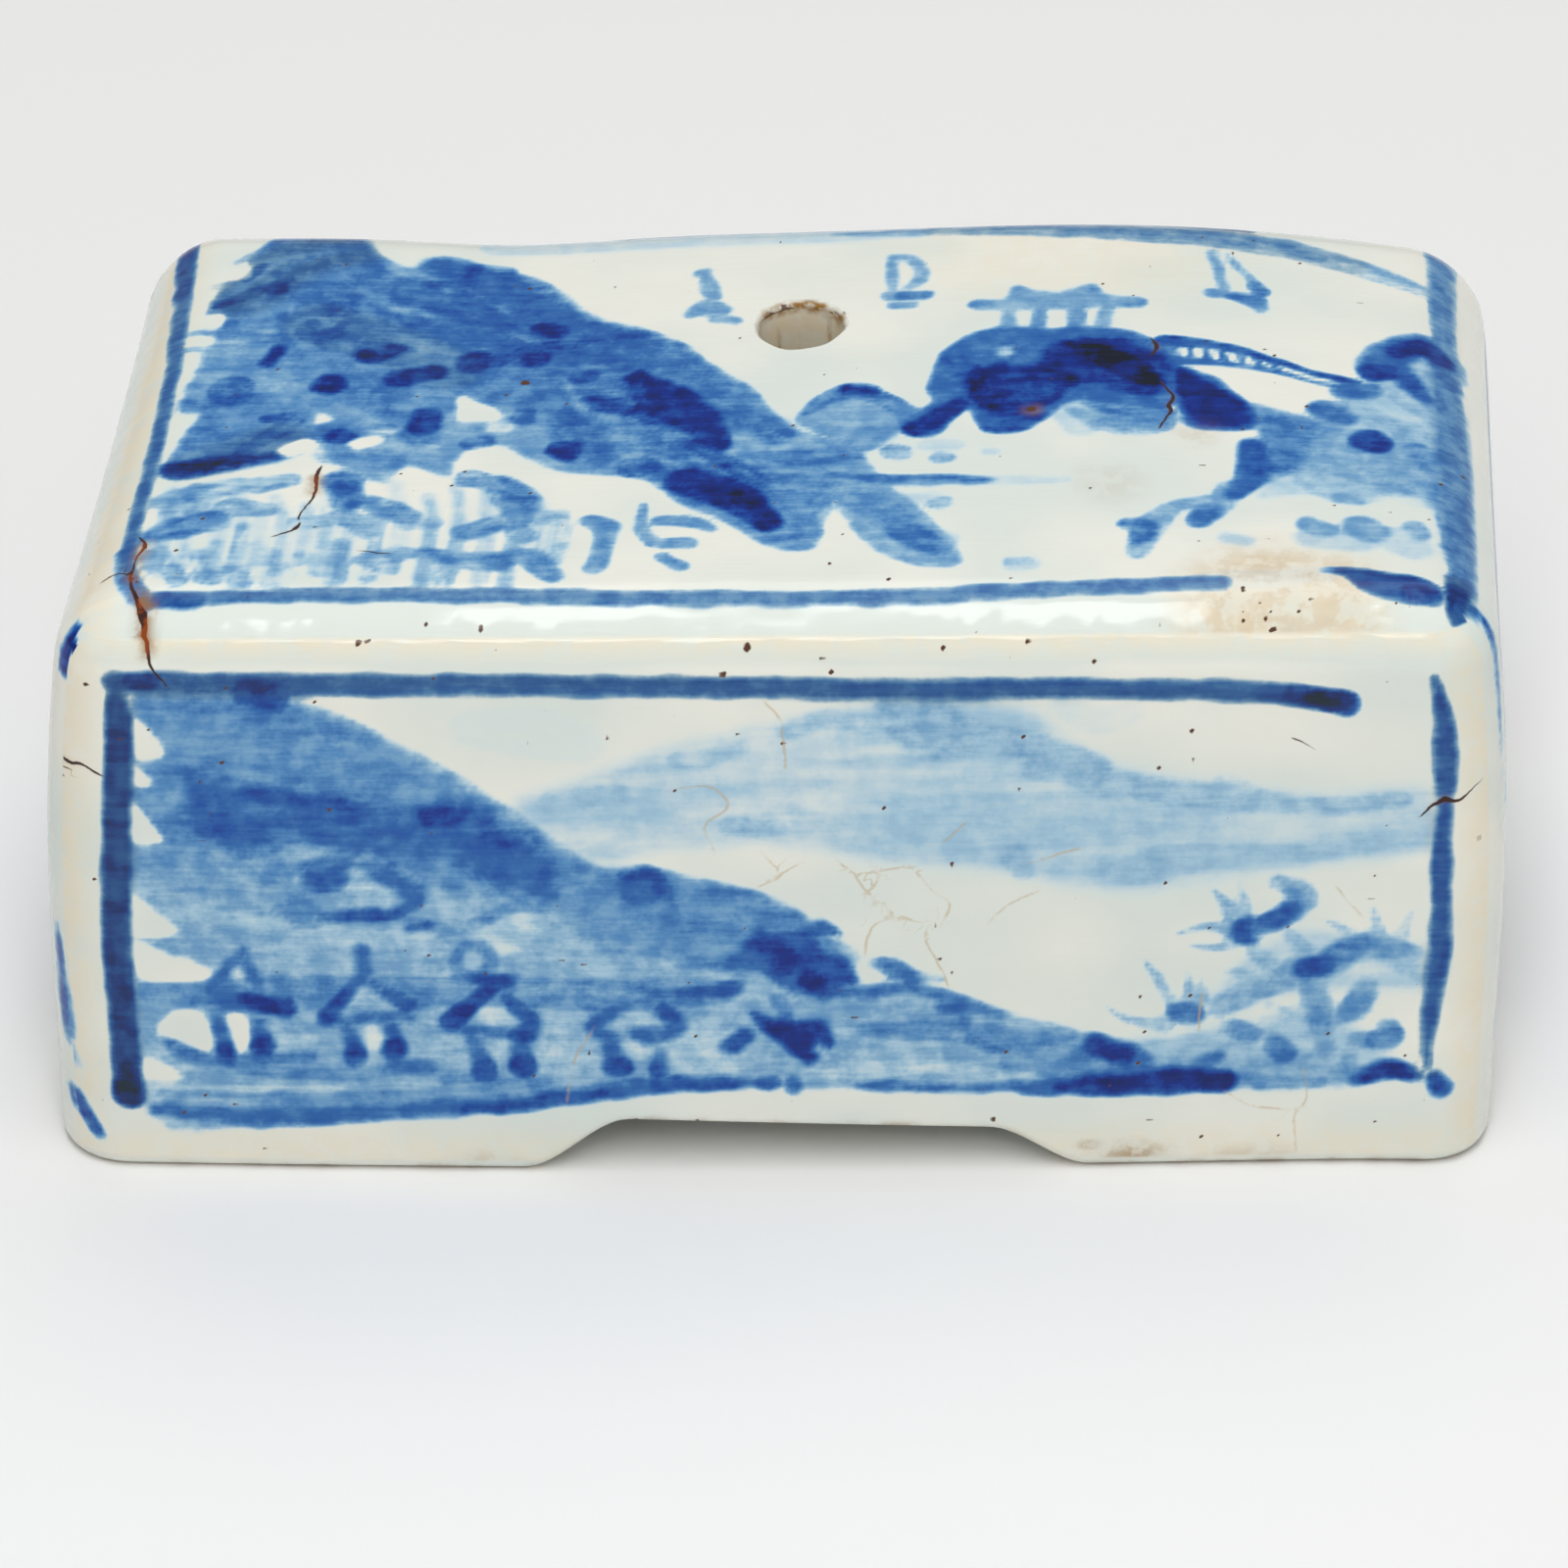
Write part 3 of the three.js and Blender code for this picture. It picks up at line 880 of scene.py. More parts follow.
def paint_mountain_darks(top):
    top.stroke("mid", [(-23, 4.6), (-19.6, 3), (-15.6, 0.4), (-11, -4)], (2.4, 4.4, 4.6, 3.0), 0.6, 0.5, 1.0)
    top.stroke("deep", [(-11.6, 4.2), (-9.6, 1), (-6.6, -2.4), (-5, -5.6)], (2.0, 4.8, 3.4, 1.6), 0.95, 0.2)
    top.stroke("deep", [(-15, 1.2), (-12, -0.2), (-8, -2.6)], (1.2, 2.2, 1.4), 0.6, 0.5)
    top.stroke("deep", [(-7, -10.2), (-3.8, -12), (-0.8, -16)], (3.4, 4.0, 2.0), 0.98, 0.2)
    top.stroke("ink", [(-3.2, -12.4), (-0.9, -15.6)], (1.2, 1.6), 0.4)
    top.stroke("deep", [(-9, -3), (-4, -8), (-1.6, -10.4)], (1.0, 1.6, 1.0), 0.5, 0.5)
    top.stroke(
        "deep", [(-44.2, -8.2), (-41, -7.5), (-38, -6.6), (-35.6, -5.8)], (2.2, 2.2, 1.4, 0.8), 0.8, 0.3,
    )
    top.stroke("ink", [(-43.4, -8.1), (-40, -7.4)], 1.2, 0.5, 0.3)
    top.stroke("deep", [(-39.6, -5.6), (-37, -2.6), (-35.8, -0.2)], (0.9, 1.5, 0.6), 0.45, 0.5)
    top.stroke("deep", [(-38.4, -1.4), (-35.6, -0.6)], 0.9, 0.5, 0.4)
    top.stroke("deep", [(-44, 14.6), (-41.6, 16.4), (-39, 18.4)], (0.7, 1.1, 0.6), 0.55, 0.4)
    top.stroke("deep", [(-42.6, 18.6), (-41.2, 20.2)], (1.0, 0.6), 0.6, 0.4)
    top.stroke(
        "deep", [(-28.6, 18.0), (-26.6, 18.4), (-25.2, 20.6), (-22.6, 20.4)], (0.8, 0.8, 1.2, 0.8), 0.5,
        0.3,
    )
    top.stroke("deep", [(-25.5, 19.2), (-25.4, 16.6)], 0.6, 0.4)
    top.stroke("deep", [(-22, 7), (-20, 9), (-17.0, 9.2)], 0.9, 0.6, 0.3)
    top.stroke("deep", [(-32, 10.2), (-29, 8.6)], 0.8, 0.35)
    top.stroke("deep", [(-13.4, 10.6), (-11.6, 10.2)], 1.0, 0.4)
    top.dabs("deep", (
        (-39.9, 17.0, 2.0, 1.9, 20),
        (-38.9, 7.4, 3.4, 1.2, 70),
        (-28.2, 5.0, 4.8, 2.2, 22),
        (-34.4, 3.6, 3.0, 2.8, 80),
        (-24.0, 7.2, 3.2, 2.8, 60),
        (-18.8, 11.4, 3.4, 2.2, -20),
        (-19.4, 7.6, 2.6, 2.2, 80),
        (-26.8, -1.2, 4.0, 2.4, 88),
        (-32.7, -3.7, 2.6, 1.9, 0),
        (-16.2, -5.7, 3.0, 2.6, -60),
    ), 0.72)
    top.dabs("deep", (
        (-35.8, 11.0, 3.8, 3.2, 20),
        (-41.4, 2.6, 3.9, 3.4, 80),
        (-31.4, 8.2, 3.6, 3.0, 20),
        (-28.6, 13.8, 3.8, 3.0, 60),
        (-10.6, -8.0, 3.2, 2.6, 20),
        (-19.6, -0.8, 2.4, 1.7, 80),
        (-22.6, -4.2, 2.4, 1.6, 10),
        (-34.6, 14.2, 2.6, 1.8, 10),
        (-15.6, 4.8, 2.4, 1.6, 20),
    ), 0.42)
    top.dabs("ink", ((-31.4, 7.9, 2.8, 2.0, 30), (-34.5, 3.5, 1.5, 1.3, 0), (-29.9, 8.8, 1.2, 1.0, 0)), 0.45)


def paint_foot_of_mountain(top):
    """The pale tongue of land right of the mountain, and the water in front of it."""
    top.fill(
        "light",
        [
            (2.6, -9), (5.2, -7), (7.4, -11), (10, -14.6), (12.9, -20.4), (11.6, -22), (8, -20.6),
            (4.8, -16.4),
        ],
        0.95, grain=(0, 0.15),
    )
    top.stroke("mid", [(3.4, -10), (6, -13.4), (8.6, -16.4)], (2.6, 3.0, 2.4), 0.42, 0.5)
    top.stroke("mid", [(7.8, -15.8), (9.4, -17.8), (11.2, -19.4)], (1.4, 2.8, 1.6), 0.75, 0.3)
    top.stroke("light", [(1.6, -17), (2.6, -14)], 2.0, 0.7)
    top.stroke(
        "mid", [(3.2, -9.5), (6.5, -10.2), (8, -10.4), (10.4, -10.1), (14, -10.6)],
        (0.7, 1.3, 0.9, 0.8, 0.6), 0.85,
    )
    top.stroke("light", [(3, -9.4), (8, -10.5), (14.4, -10.7)], (0.9, 1.6, 0.8), 0.9)
    top.stroke("wash", [(13, -10.7), (20, -10.5)], (1.2, 0.7), 0.6)
    top.dabs("light", (
        (7.8, -6.8, 2.6, 2.3, -40),
        (11.1, -7.5, 1.9, 1.8, 0),
        (11.2, -13.5, 2.0, 1.6, 30),
    ), 0.72)
    top.dabs("wash", (
        (10.8, -5.8, 3.4, 1.4, 0), (11.4, -18, 2.6, 2, -30), (17, -21.4, 2.6, 1.6, 10),
        (9.4, -12.8, 3.6, 1.6, 10), (14.5, -6.8, 1.4, 0.8, 0), (3.4, -7.0, 4, 2, 0),
    ), 0.6)
    top.dab("light", 16.8, -21.1, 1.8, 1.0, 10, 0.35)


def paint_left_knoll(top):
    outline = [
        (0.3, -2.2), (1.4, 0.4), (3.2, 2.2), (4.8, 2.7), (6.2, 1.6), (8.8, -1.0), (7.6, -4.4),
        (5.4, -6.6), (2.6, -4.4),
    ]
    top.fill("light", outline, 0.92, grain=(4, 0.15))
    top.fill("mid", outline, 0.22, grain=(10, 0.7))
    top.stroke(
        "mid", [(1.2, -1.0), (2.6, 0.9), (4.8, 1.7), (6.6, 0.4), (8.6, -1.6)], (1.0, 1.7, 2.2, 1.6, 1.6),
        0.7, 0.3,
    )
    top.stroke("deep", [(4.0, 1.9), (5.6, 1.6)], 1.2, 0.75)
    top.stroke("mid", [(5.6, -4.4), (7.6, -5.6)], 2.0, 0.35, 0.4)


def paint_pavilion_hill(top):
    hill = [
        (9.7, 1.6), (10.2, 5.4), (12, 8.6), (14.6, 10.1), (17.8, 9.7), (21, 10), (24.4, 9.2),
        (26.8, 7.2), (27.6, 5), (30.6, 2.9), (33, -0.8), (33.5, -3), (31.4, -3.9), (28.4, -3.3),
        (27.6, -0.6), (26.2, -1.4), (23, -0.4), (20, -0.2), (17.4, -3.4), (15.2, -4.4), (13.5, -3.2),
        (12.5, -0.9), (10.7, -4.2), (9.2, -4.6), (7.8, -3.2), (8.2, -1.8), (10, -0.2),
    ]
    top.fill("light", hill)
    top.fill("mid", hill, 1.0, grain=(6, 0.2))
    top.fill("deep", [
        (12.4, 3.6), (14.6, 5.0), (17.0, 4.6), (18.6, 7.6), (21.6, 8.6), (24.8, 7.6), (27, 5.2),
        (26.6, 1.2), (24.4, 0.9), (20.4, 2.4), (18.4, -0.6), (15.4, -2.4), (13.2, -0.6), (12.4, 1.4),
    ], 0.95, grain=(6, 0.35), edge=0.8)
    top.fill(
        "deep", [(27.4, 4.2), (29.4, 3.2), (31.8, 0.6), (33, -2), (32.4, -3.2), (29.4, -3.2), (28.2, -1.6)],
        1.0, edge=0.6,
    )
    top.stroke("deep", [(9.0, -3.6), (10.4, -2.2), (12, -0.4)], (2.0, 2.0, 1.6), 0.85, 0.2)
    top.stroke("deep", [(14.4, -3.6), (16.4, -3), (17.6, -1.4)], 1.4, 0.5, 0.4)
    top.stroke("deep", [(11.2, 6.2), (12.4, 3.6)], 1.4, 0.35, 0.5)
    top.stroke("ink", [(19.8, 7.6), (21.6, 6.4), (23.6, 4.9), (25.6, 2.8)], (0.9, 2.2, 2.8, 1.8), 0.75, 0.2)
    top.stroke("ink", [(13, 4.6), (13.4, 1.2), (14.4, -0.2)], (0.7, 1.2, 1.6), 0.55, 0.3)
    top.stroke("ink", [(18.4, 3.6), (19.8, 2.6), (19.0, 0.8)], (0.9, 1.2, 0.8), 0.4, 0.4)
    top.wipe([(14.4, 7.2), (15.6, 7.4), (15.8, 6.2), (14.6, 6.0)], 0.5)
    top.fill(
        "light", [(19.6, 0.4), (27.2, -1.4), (27.4, -3.4), (25.4, -4.8), (22.4, -4.2), (20.4, -2.4)], 0.85,
        grain=(0, 0.3),
    )
    top.stroke("mid", [(21.6, -0.2), (24, -1.2), (26.6, -1.8)], (1.6, 2.0, 1.6), 0.7, 0.4)
    top.stroke("mid", [(22.6, -2.8), (24.6, -3.4), (26.8, -3.4)], (0.8, 1.4, 1.0), 0.4, 0.4)
    top.stroke("wash", [(19.6, -1.6), (20.8, -3.6)], 2.4, 0.6)


def paint_pavilion(top):
    roof = [
        (12.2, 13.0), (12.8, 13.9), (14.8, 14.0), (15.6, 15.8), (16.8, 15.2), (19, 14.9), (21.2, 15.9),
        (22.2, 14.6), (25.1, 13.9), (24.9, 12.7), (22.6, 12.6), (19, 12.3), (15.6, 12.3), (13.6, 12.4),
    ]
    top.fill("light", roof, 1.0)
    top.fill("mid", roof, 0.22, grain=(0, 0.5))
    top.dabs("mid", ((13.3, 13.1, 1.8, 1.3, 0), (24.2, 13.3, 2.0, 1.4, -15), (21, 15, 1.6, 1.2, 0)), 0.4)
    for foot, head in ((15.3, 15.2), (17.4, 17.5), (20.3, 20.1), (22.0, 22.5)):
        top.stroke("light", [(head, 12.9), (foot, 9.9)], (1.1, 1.3), 0.9)
    top.stroke("mid", [(20.1, 12), (20.3, 9.8)], 1.1, 0.4)
    top.stroke("mid", [(17.5, 11.4), (17.3, 9.8)], 1.0, 0.3)


def paint_footbridge(top):
    """Two rails with rungs between them."""
    rail = [(26.6, 8), (29.6, 8), (33, 6.8), (36.6, 4.9), (40.4, 3.5)]
    deck = [(26.8, 5.6), (30, 5.4), (33.8, 4.7), (37.6, 3.3), (40.2, 2.4)]
    for path, width in ((rail, (1.7, 1.1, 0.8, 0.6, 0.9)), (deck, (1.3, 0.7, 0.5, 0.4, 0.5))):
        top.stroke("light", path, width, 1.0, 0.0, 0.4)
        top.stroke("mid", path, width, 0.95, 0.1, 0.4)
    top.stroke("deep", rail, (1.3, 0.7, 0.4, 0.3, 0.5), 0.6, 0.3)
    rail_path, deck_path = smooth_path(rail), smooth_path(deck)
    for station in (1, 2, 4, 6, 8, 10, 12, 14):
        rung = [rail_path[station], deck_path[station]]
        top.stroke("light", rung, 0.4, 0.8, 0.0, 0.3)
        top.stroke("mid", rung, 0.4, 0.7, 0.0, 0.3)


def paint_right_bank(top):
    top.fill("wash", [
        (34, -1.4), (38, -3.4), (40.4, 2.4), (42.4, 3.2), (44, 6.4), (47.8, 6), (48, -16), (46, -14),
        (43.4, -11.6), (40.4, -13.4), (36.8, -12.2), (33.6, -12.8), (34, -10.4),
    ], 0.9, grain=(-30, 0.3), edge=0.8)
    for points, width, strength in (
        ([(33, -0.8), (36, -2.6), (38.6, -3.4)], (1.4, 2.6, 2.2), 0.85),
        ([(40, -0.4), (42, -3), (43, -7)], (2.6, 4.0, 3.6), 0.75),
        ([(36, -6), (40, -8), (44, -10.4)], (3.6, 4.4, 3.0), 0.85),
        ([(37.6, -10), (39.4, -12), (42, -12)], (3.0, 2.4, 1.2), 0.5),
        ([(44.4, -3), (45.6, -8), (46.6, -13)], (2.2, 2.6, 2.2), 0.8),
        ([(42.6, 3.6), (44.6, 5.4), (46.4, 4.8)], (2.0, 2.6, 2.0), 0.6),
        ([(46.2, 7), (47, -2), (47.4, -12), (47.5, -20)], (1.6, 2.8, 3.2, 2.4), 0.9),
    ):
        top.stroke("light", points, width, strength, 0.45, edge=0.8)
    for points, width, strength in (
        ([(35, -2.6), (37.4, -3.6)], 1.8, 0.5),
        ([(44.8, -5.6), (46, -8)], 1.8, 0.5),
        ([(38.4, -5), (42, -8), (44.6, -12.6)], (3.4, 4.2, 2.0), 0.22),
        ([(46.8, -6), (47.2, -12), (47.6, -19)], (1.6, 2.6, 2.0), 0.6),
        ([(41.6, -9), (44, -10.6)], 1.0, 0.25),
        ([(43.4, 2.0), (45.6, -0.6)], 1.0, 0.3),
    ):
        top.stroke("mid", points, width, strength, 0.5)
    bluff = [
        (34, -1.6), (37.4, -2.6), (36.9, -5.7), (36.3, -8.7), (34.2, -10.4), (32.8, -12), (31.2, -12.8),
        (31.8, -9.8), (32.2, -6.2), (33.5, -5),
    ]
    top.fill("light", bluff, 1.0)
    top.fill("mid", bluff, 0.72, grain=(-20, 0.5), edge=0.8)
    top.stroke("mid", [(33, -6), (33, -9.4), (31.8, -12.4)], (2.2, 2.6, 1.4), 1.0, 0.1)
    top.stroke("deep", [(33, -6.2), (33.4, -9.2), (32.6, -11.4)], (1.4, 2.0, 1.0), 0.45, 0.4)
    top.stroke("deep", [(33.6, -9.2), (36, -7.8)], 1.2, 0.4, 0.4)
    top.stroke("light", [(31.4, -11.6), (30.8, -13.8), (29.4, -16.2)], (2.0, 2.0, 1.6), 0.9, 0.2)
    top.stroke("mid", [(29.9, -14.6), (29.2, -16)], (1.9, 1.7), 0.75)
    top.stroke(
        "light", [(30, -13.4), (27.6, -14.2), (26, -16.4), (24.9, -20)], (1.8, 1.6, 2.6, 1.6), 0.85, 0.3,
    )
    top.stroke("mid", [(24.4, -16.4), (25.4, -17.0), (25, -18.6)], (1.6, 2.2, 1.0), 0.75, 0.3)
    top.dabs("light", (
        (37.6, -16.6, 3.4, 1.9, -30),
        (41.0, -16.8, 4.0, 3.0, -50),
        (44.6, -16.8, 3.0, 1.9, -60),
        (39.8, -12.8, 2.8, 1.4, -20),
    ), 0.95)
    top.dabs("wash", ((38.8, -18.4, 6, 2.4, -10), (43.6, -18.6, 5, 3, -40), (32, -18.4, 2.6, 1.4, -20)), 0.7)


def paint_pine(top):
    top.stroke("mid", [(41.9, 5.2), (43.4, 8.2), (45.2, 9.6), (47, 8.4)], (2.8, 3.0, 3.4, 2.2), 1.0, 0.1)
    top.stroke("deep", [(43.6, 8.6), (45.4, 9.5), (46.8, 8.6)], (1.8, 2.4, 1.8), 0.85, 0.2)
    top.stroke("deep", [(41.8, 5.2), (42.6, 5.4)], (2.2, 2.0), 0.65, 0.2)
    top.stroke("mid", [(43.4, 6.6), (44.4, 4), (45.6, 1.6)], (1.6, 2.2, 0.9), 0.9, 0.2)
    top.stroke("deep", [(44, 5.2), (45, 3)], 1.1, 0.4, 0.3)
    top.stroke("mid", [(46.6, 7.6), (47.4, 5.4)], (1.6, 1.6), 0.8)
    top.stroke("light", [(42.4, 6), (43.4, 8.2), (45.2, 9.6), (47, 8.2)], 4.0, 0.8)
    top.dabs(
        "mid", ((38.2, -0.6, 2.4, 2.0, -60), (39.4, -1.4, 2.6, 2.0, -40), (40.6, 2.4, 3.4, 2.1, 10)), 0.8,
    )
    top.dab("deep", 41.6, -4.7, 3.2, 2.6, -40, 0.6)
    top.dab("mid", 41.5, -4.7, 3.7, 3.1, -40, 0.95)
    top.dabs("light", ((38.8, -1.0, 4.0, 3.2, -50), (40.6, 2.3, 4.0, 2.6, 10)), 0.95)


def paint_boats(top):
    """Three small sailing boats, each with a mast, a sail and a hull of one or two touches."""
    top.dab("light", -7.8, 18.9, 1.8, 1.1, 20, 0.8)
    top.stroke("light", [(-7.5, 18.4), (-7.1, 16.6), (-6.6, 15.4)], (1.0, 1.5, 1.1), 0.85)
    top.stroke("light", [(-8.4, 12.9), (-7, 14.1), (-5.8, 13.4)], (1.0, 2.0, 1.4), 0.95)
    top.stroke("light", [(-6.4, 12.2), (-4.9, 11.8)], 1.1, 0.9)
    top.stroke("mid", [(-7.6, 13.2), (-6, 13.4)], 1.0, 0.35)
    top.stroke("light", [(6.3, 20.2), (6.5, 17), (6.4, 14.6)], (0.8, 1.0, 0.8), 0.9)
    top.stroke(
        "light", [(6.4, 20.2), (7.8, 19.9), (8.6, 18.2), (8.4, 16.6), (7.6, 15.8)],
        (1.0, 1.0, 1.3, 1.2, 0.8), 0.9,
    )
    top.stroke("light", [(6.3, 14.9), (8.9, 14.8)], 1.5, 0.95)
    top.stroke("light", [(6.7, 13.4), (8.0, 13.4)], 1.0, 0.85)
    top.stroke("mid", [(7.2, 14.8), (8.9, 14.8)], 0.9, 0.6)
    top.stroke("light", [(30, 20.8), (30.5, 18.4), (31.1, 15.4)], (0.9, 1.0, 0.8), 0.95)
    top.stroke("light", [(31.1, 20.6), (32.4, 18.2), (33.6, 15.8)], (0.6, 0.9, 1.2), 0.95)
    top.stroke("mid", [(33.2, 16.4), (33.7, 15.6)], 1.1, 0.6)
    top.stroke("light", [(30.2, 15.0), (31.4, 14.9), (33, 14.3), (33.6, 13.2)], (1.4, 1.2, 2.0, 1.4), 1.0)
    top.stroke("mid", [(31.6, 14.7), (33.2, 14.0)], (0.9, 1.6), 0.75)
    top.dab("mid", 30.1, 15.0, 1.2, 1.1, 0, 0.35)


def paint_grove(top):
    """Pale trunks in rows, with leaf dabs over them."""
    chance = np.random.RandomState(5)
    trunks = (
        -43.6, -41.9, -39.7, -38.2, -36.8, -35.2, -33.6, -32.2, -30.6, -28.6, -26.9, -24.8, -22.8, -20.8,
        -18.9,
        -16.8,
    )
    for x in trunks:
        head = -10 - 3.4 * chance.rand()
        bend = x - 0.7 + 0.9 * (chance.rand() - 0.5)
        foot = -20.5 - 3 * chance.rand()
        path = [(bend, head), (x, -16), (x, foot)]
        top.stroke("wash", path, (0.8, 1.1, 0.9), 0.5 + 0.4 * chance.rand(), 0.4)
        low = -15 - 4.5 * chance.rand()
        top.stroke(
            "light", [(x, low), (x + 0.2 * chance.rand(), foot)], (0.6, 0.9), 0.35 + 0.35 * chance.rand(),
            0.4,
        )
    leaves = (
        ([(-44.6, -12.6), (-42, -11.4), (-39.2, -10.4)], (1.4, 2.4, 1.8), 0.75),
        ([(-43.8, -14), (-41.8, -13.2)], (1.0, 1.4), 0.6),
        ([(-44.8, -17.4), (-42.8, -16), (-40.4, -15)], (1.4, 3.0, 2.6), 1.0),
        ([(-37.8, -10.4), (-35.6, -9.6)], (1.8, 1.4), 0.6),
        ([(-39.2, -13.2), (-36.8, -13.6)], (2.2, 1.4), 0.5),
        ([(-31.8, -9.8), (-31.2, -12.4)], (3.0, 2.4), 1.0),
        ([(-29.6, -12.4), (-28, -13.6), (-26.6, -14.4)], (1.4, 2.4, 1.6), 0.7),
        ([(-31.6, -14.4), (-30, -15.2), (-29.2, -16.6)], (1.2, 2.0, 1.4), 0.6),
        ([(-34.2, -15.2), (-32.8, -15.2)], 1.2, 0.4),
        ([(-22.8, -9.2), (-21, -9.8)], (2.0, 1.8), 0.8),
        ([(-20.6, -9.8), (-19.2, -12), (-18.6, -14.6)], (2.2, 3.2, 2.2), 0.9),
        ([(-22.2, -16.6), (-20.6, -15.6)], (2.0, 1.8), 0.7),
        ([(-19.4, -15), (-18.2, -17.2)], (1.6, 1.8), 0.75),
        ([(-17.6, -14.8), (-15.8, -14.4)], (1.6, 1.0), 0.6),
        ([(-15.6, -14.6), (-15.4, -18), (-15.6, -21)], (0.7, 1.0, 0.8), 0.5),
        ([(-26.4, -15.6), (-24.6, -15.2)], 1.0, 0.4),
        ([(-28.8, -20.2), (-27.2, -19.6), (-25.8, -19.4)], (1.6, 1.8, 1.0), 0.7),
        ([(-24.6, -19.4), (-22.3, -20.2), (-19.5, -20.5)], (1.4, 2.0, 2.4), 0.8),
        ([(-19.5, -20.5), (-17.7, -19.7), (-16.7, -20.8), (-15.6, -22.4)], (2.0, 1.6, 2.2, 1.6), 0.85),
        ([(-43.8, -19.6), (-43, -21.6)], (1.8, 1.6), 0.5),
        ([(-42.4, -21.4), (-41.8, -22.8)], (1.2, 1.4), 0.6),
        ([(-40.4, -19.4), (-39.6, -22.2)], (1.4, 2.2), 0.6),
        ([(-37.8, -21.4), (-37.4, -23)], (1.2, 1.6), 0.6),
        ([(-36, -19.6), (-34.8, -22.4)], (1.6, 2.6), 0.4),
        ([(-31, -18), (-30.8, -22.8)], (0.9, 1.4), 0.55),
        ([(-28.4, -21), (-28.6, -22.6)], (0.8, 1.2), 0.5),
        ([(-23.4, -21.2), (-23.2, -23)], (0.8, 1.2), 0.6),
    )
    top.strokes("light", leaves, 0.35, 0.7)
    for points, width, strength in leaves:
        shade = strength * (0.45 + 0.3 * chance.rand())
        top.stroke("mid", points, 0.9 * np.atleast_1d(width), shade, 0.5, 0.7)
    top.strokes("deep", (
        ([(-43.6, -16.6), (-42, -15.8)], 1.6, 0.3),
        ([(-31.6, -10.6), (-31, -12)], 1.6, 0.35),
        ([(-19.2, -11), (-19, -12.6)], 1.6, 0.3),
    ), 0.5, 0.7)
    for points, width in (
        ([(-13.6, -15.2), (-12.3, -16.2), (-12.3, -18.6), (-12.7, -21.4)], (1.6, 2.2, 1.5, 1.9)),
        ([(-10.0, -13.2), (-9.8, -16.2), (-8.9, -18.2)], (0.5, 1.1, 1.1)),
        ([(-8.6, -15.4), (-6.9, -15.4), (-4.9, -16.6)], (1.2, 1.6, 0.8)),
        ([(-8.2, -18.4), (-6.4, -18.4)], (1.2, 1.5)),
        ([(-8.2, -20.2), (-6.8, -21.4)], (1.2, 1.5)),
    ):
        top.stroke("light", points, width, 0.95, 0.1)
        top.stroke("mid", points, np.array(width) * 0.7, 0.36, 0.3)


def paint_top(top):
    paint_grove(top)
    paint_great_mountain(top)
    paint_foot_of_mountain(top)
    paint_left_knoll(top)
    paint_pavilion_hill(top)
    paint_pavilion(top)
    paint_footbridge(top)
    paint_right_bank(top)
    paint_pine(top)
    paint_boats(top)
    paint_top_frame(top)


# The painting on the front wall. u is x and v is z.

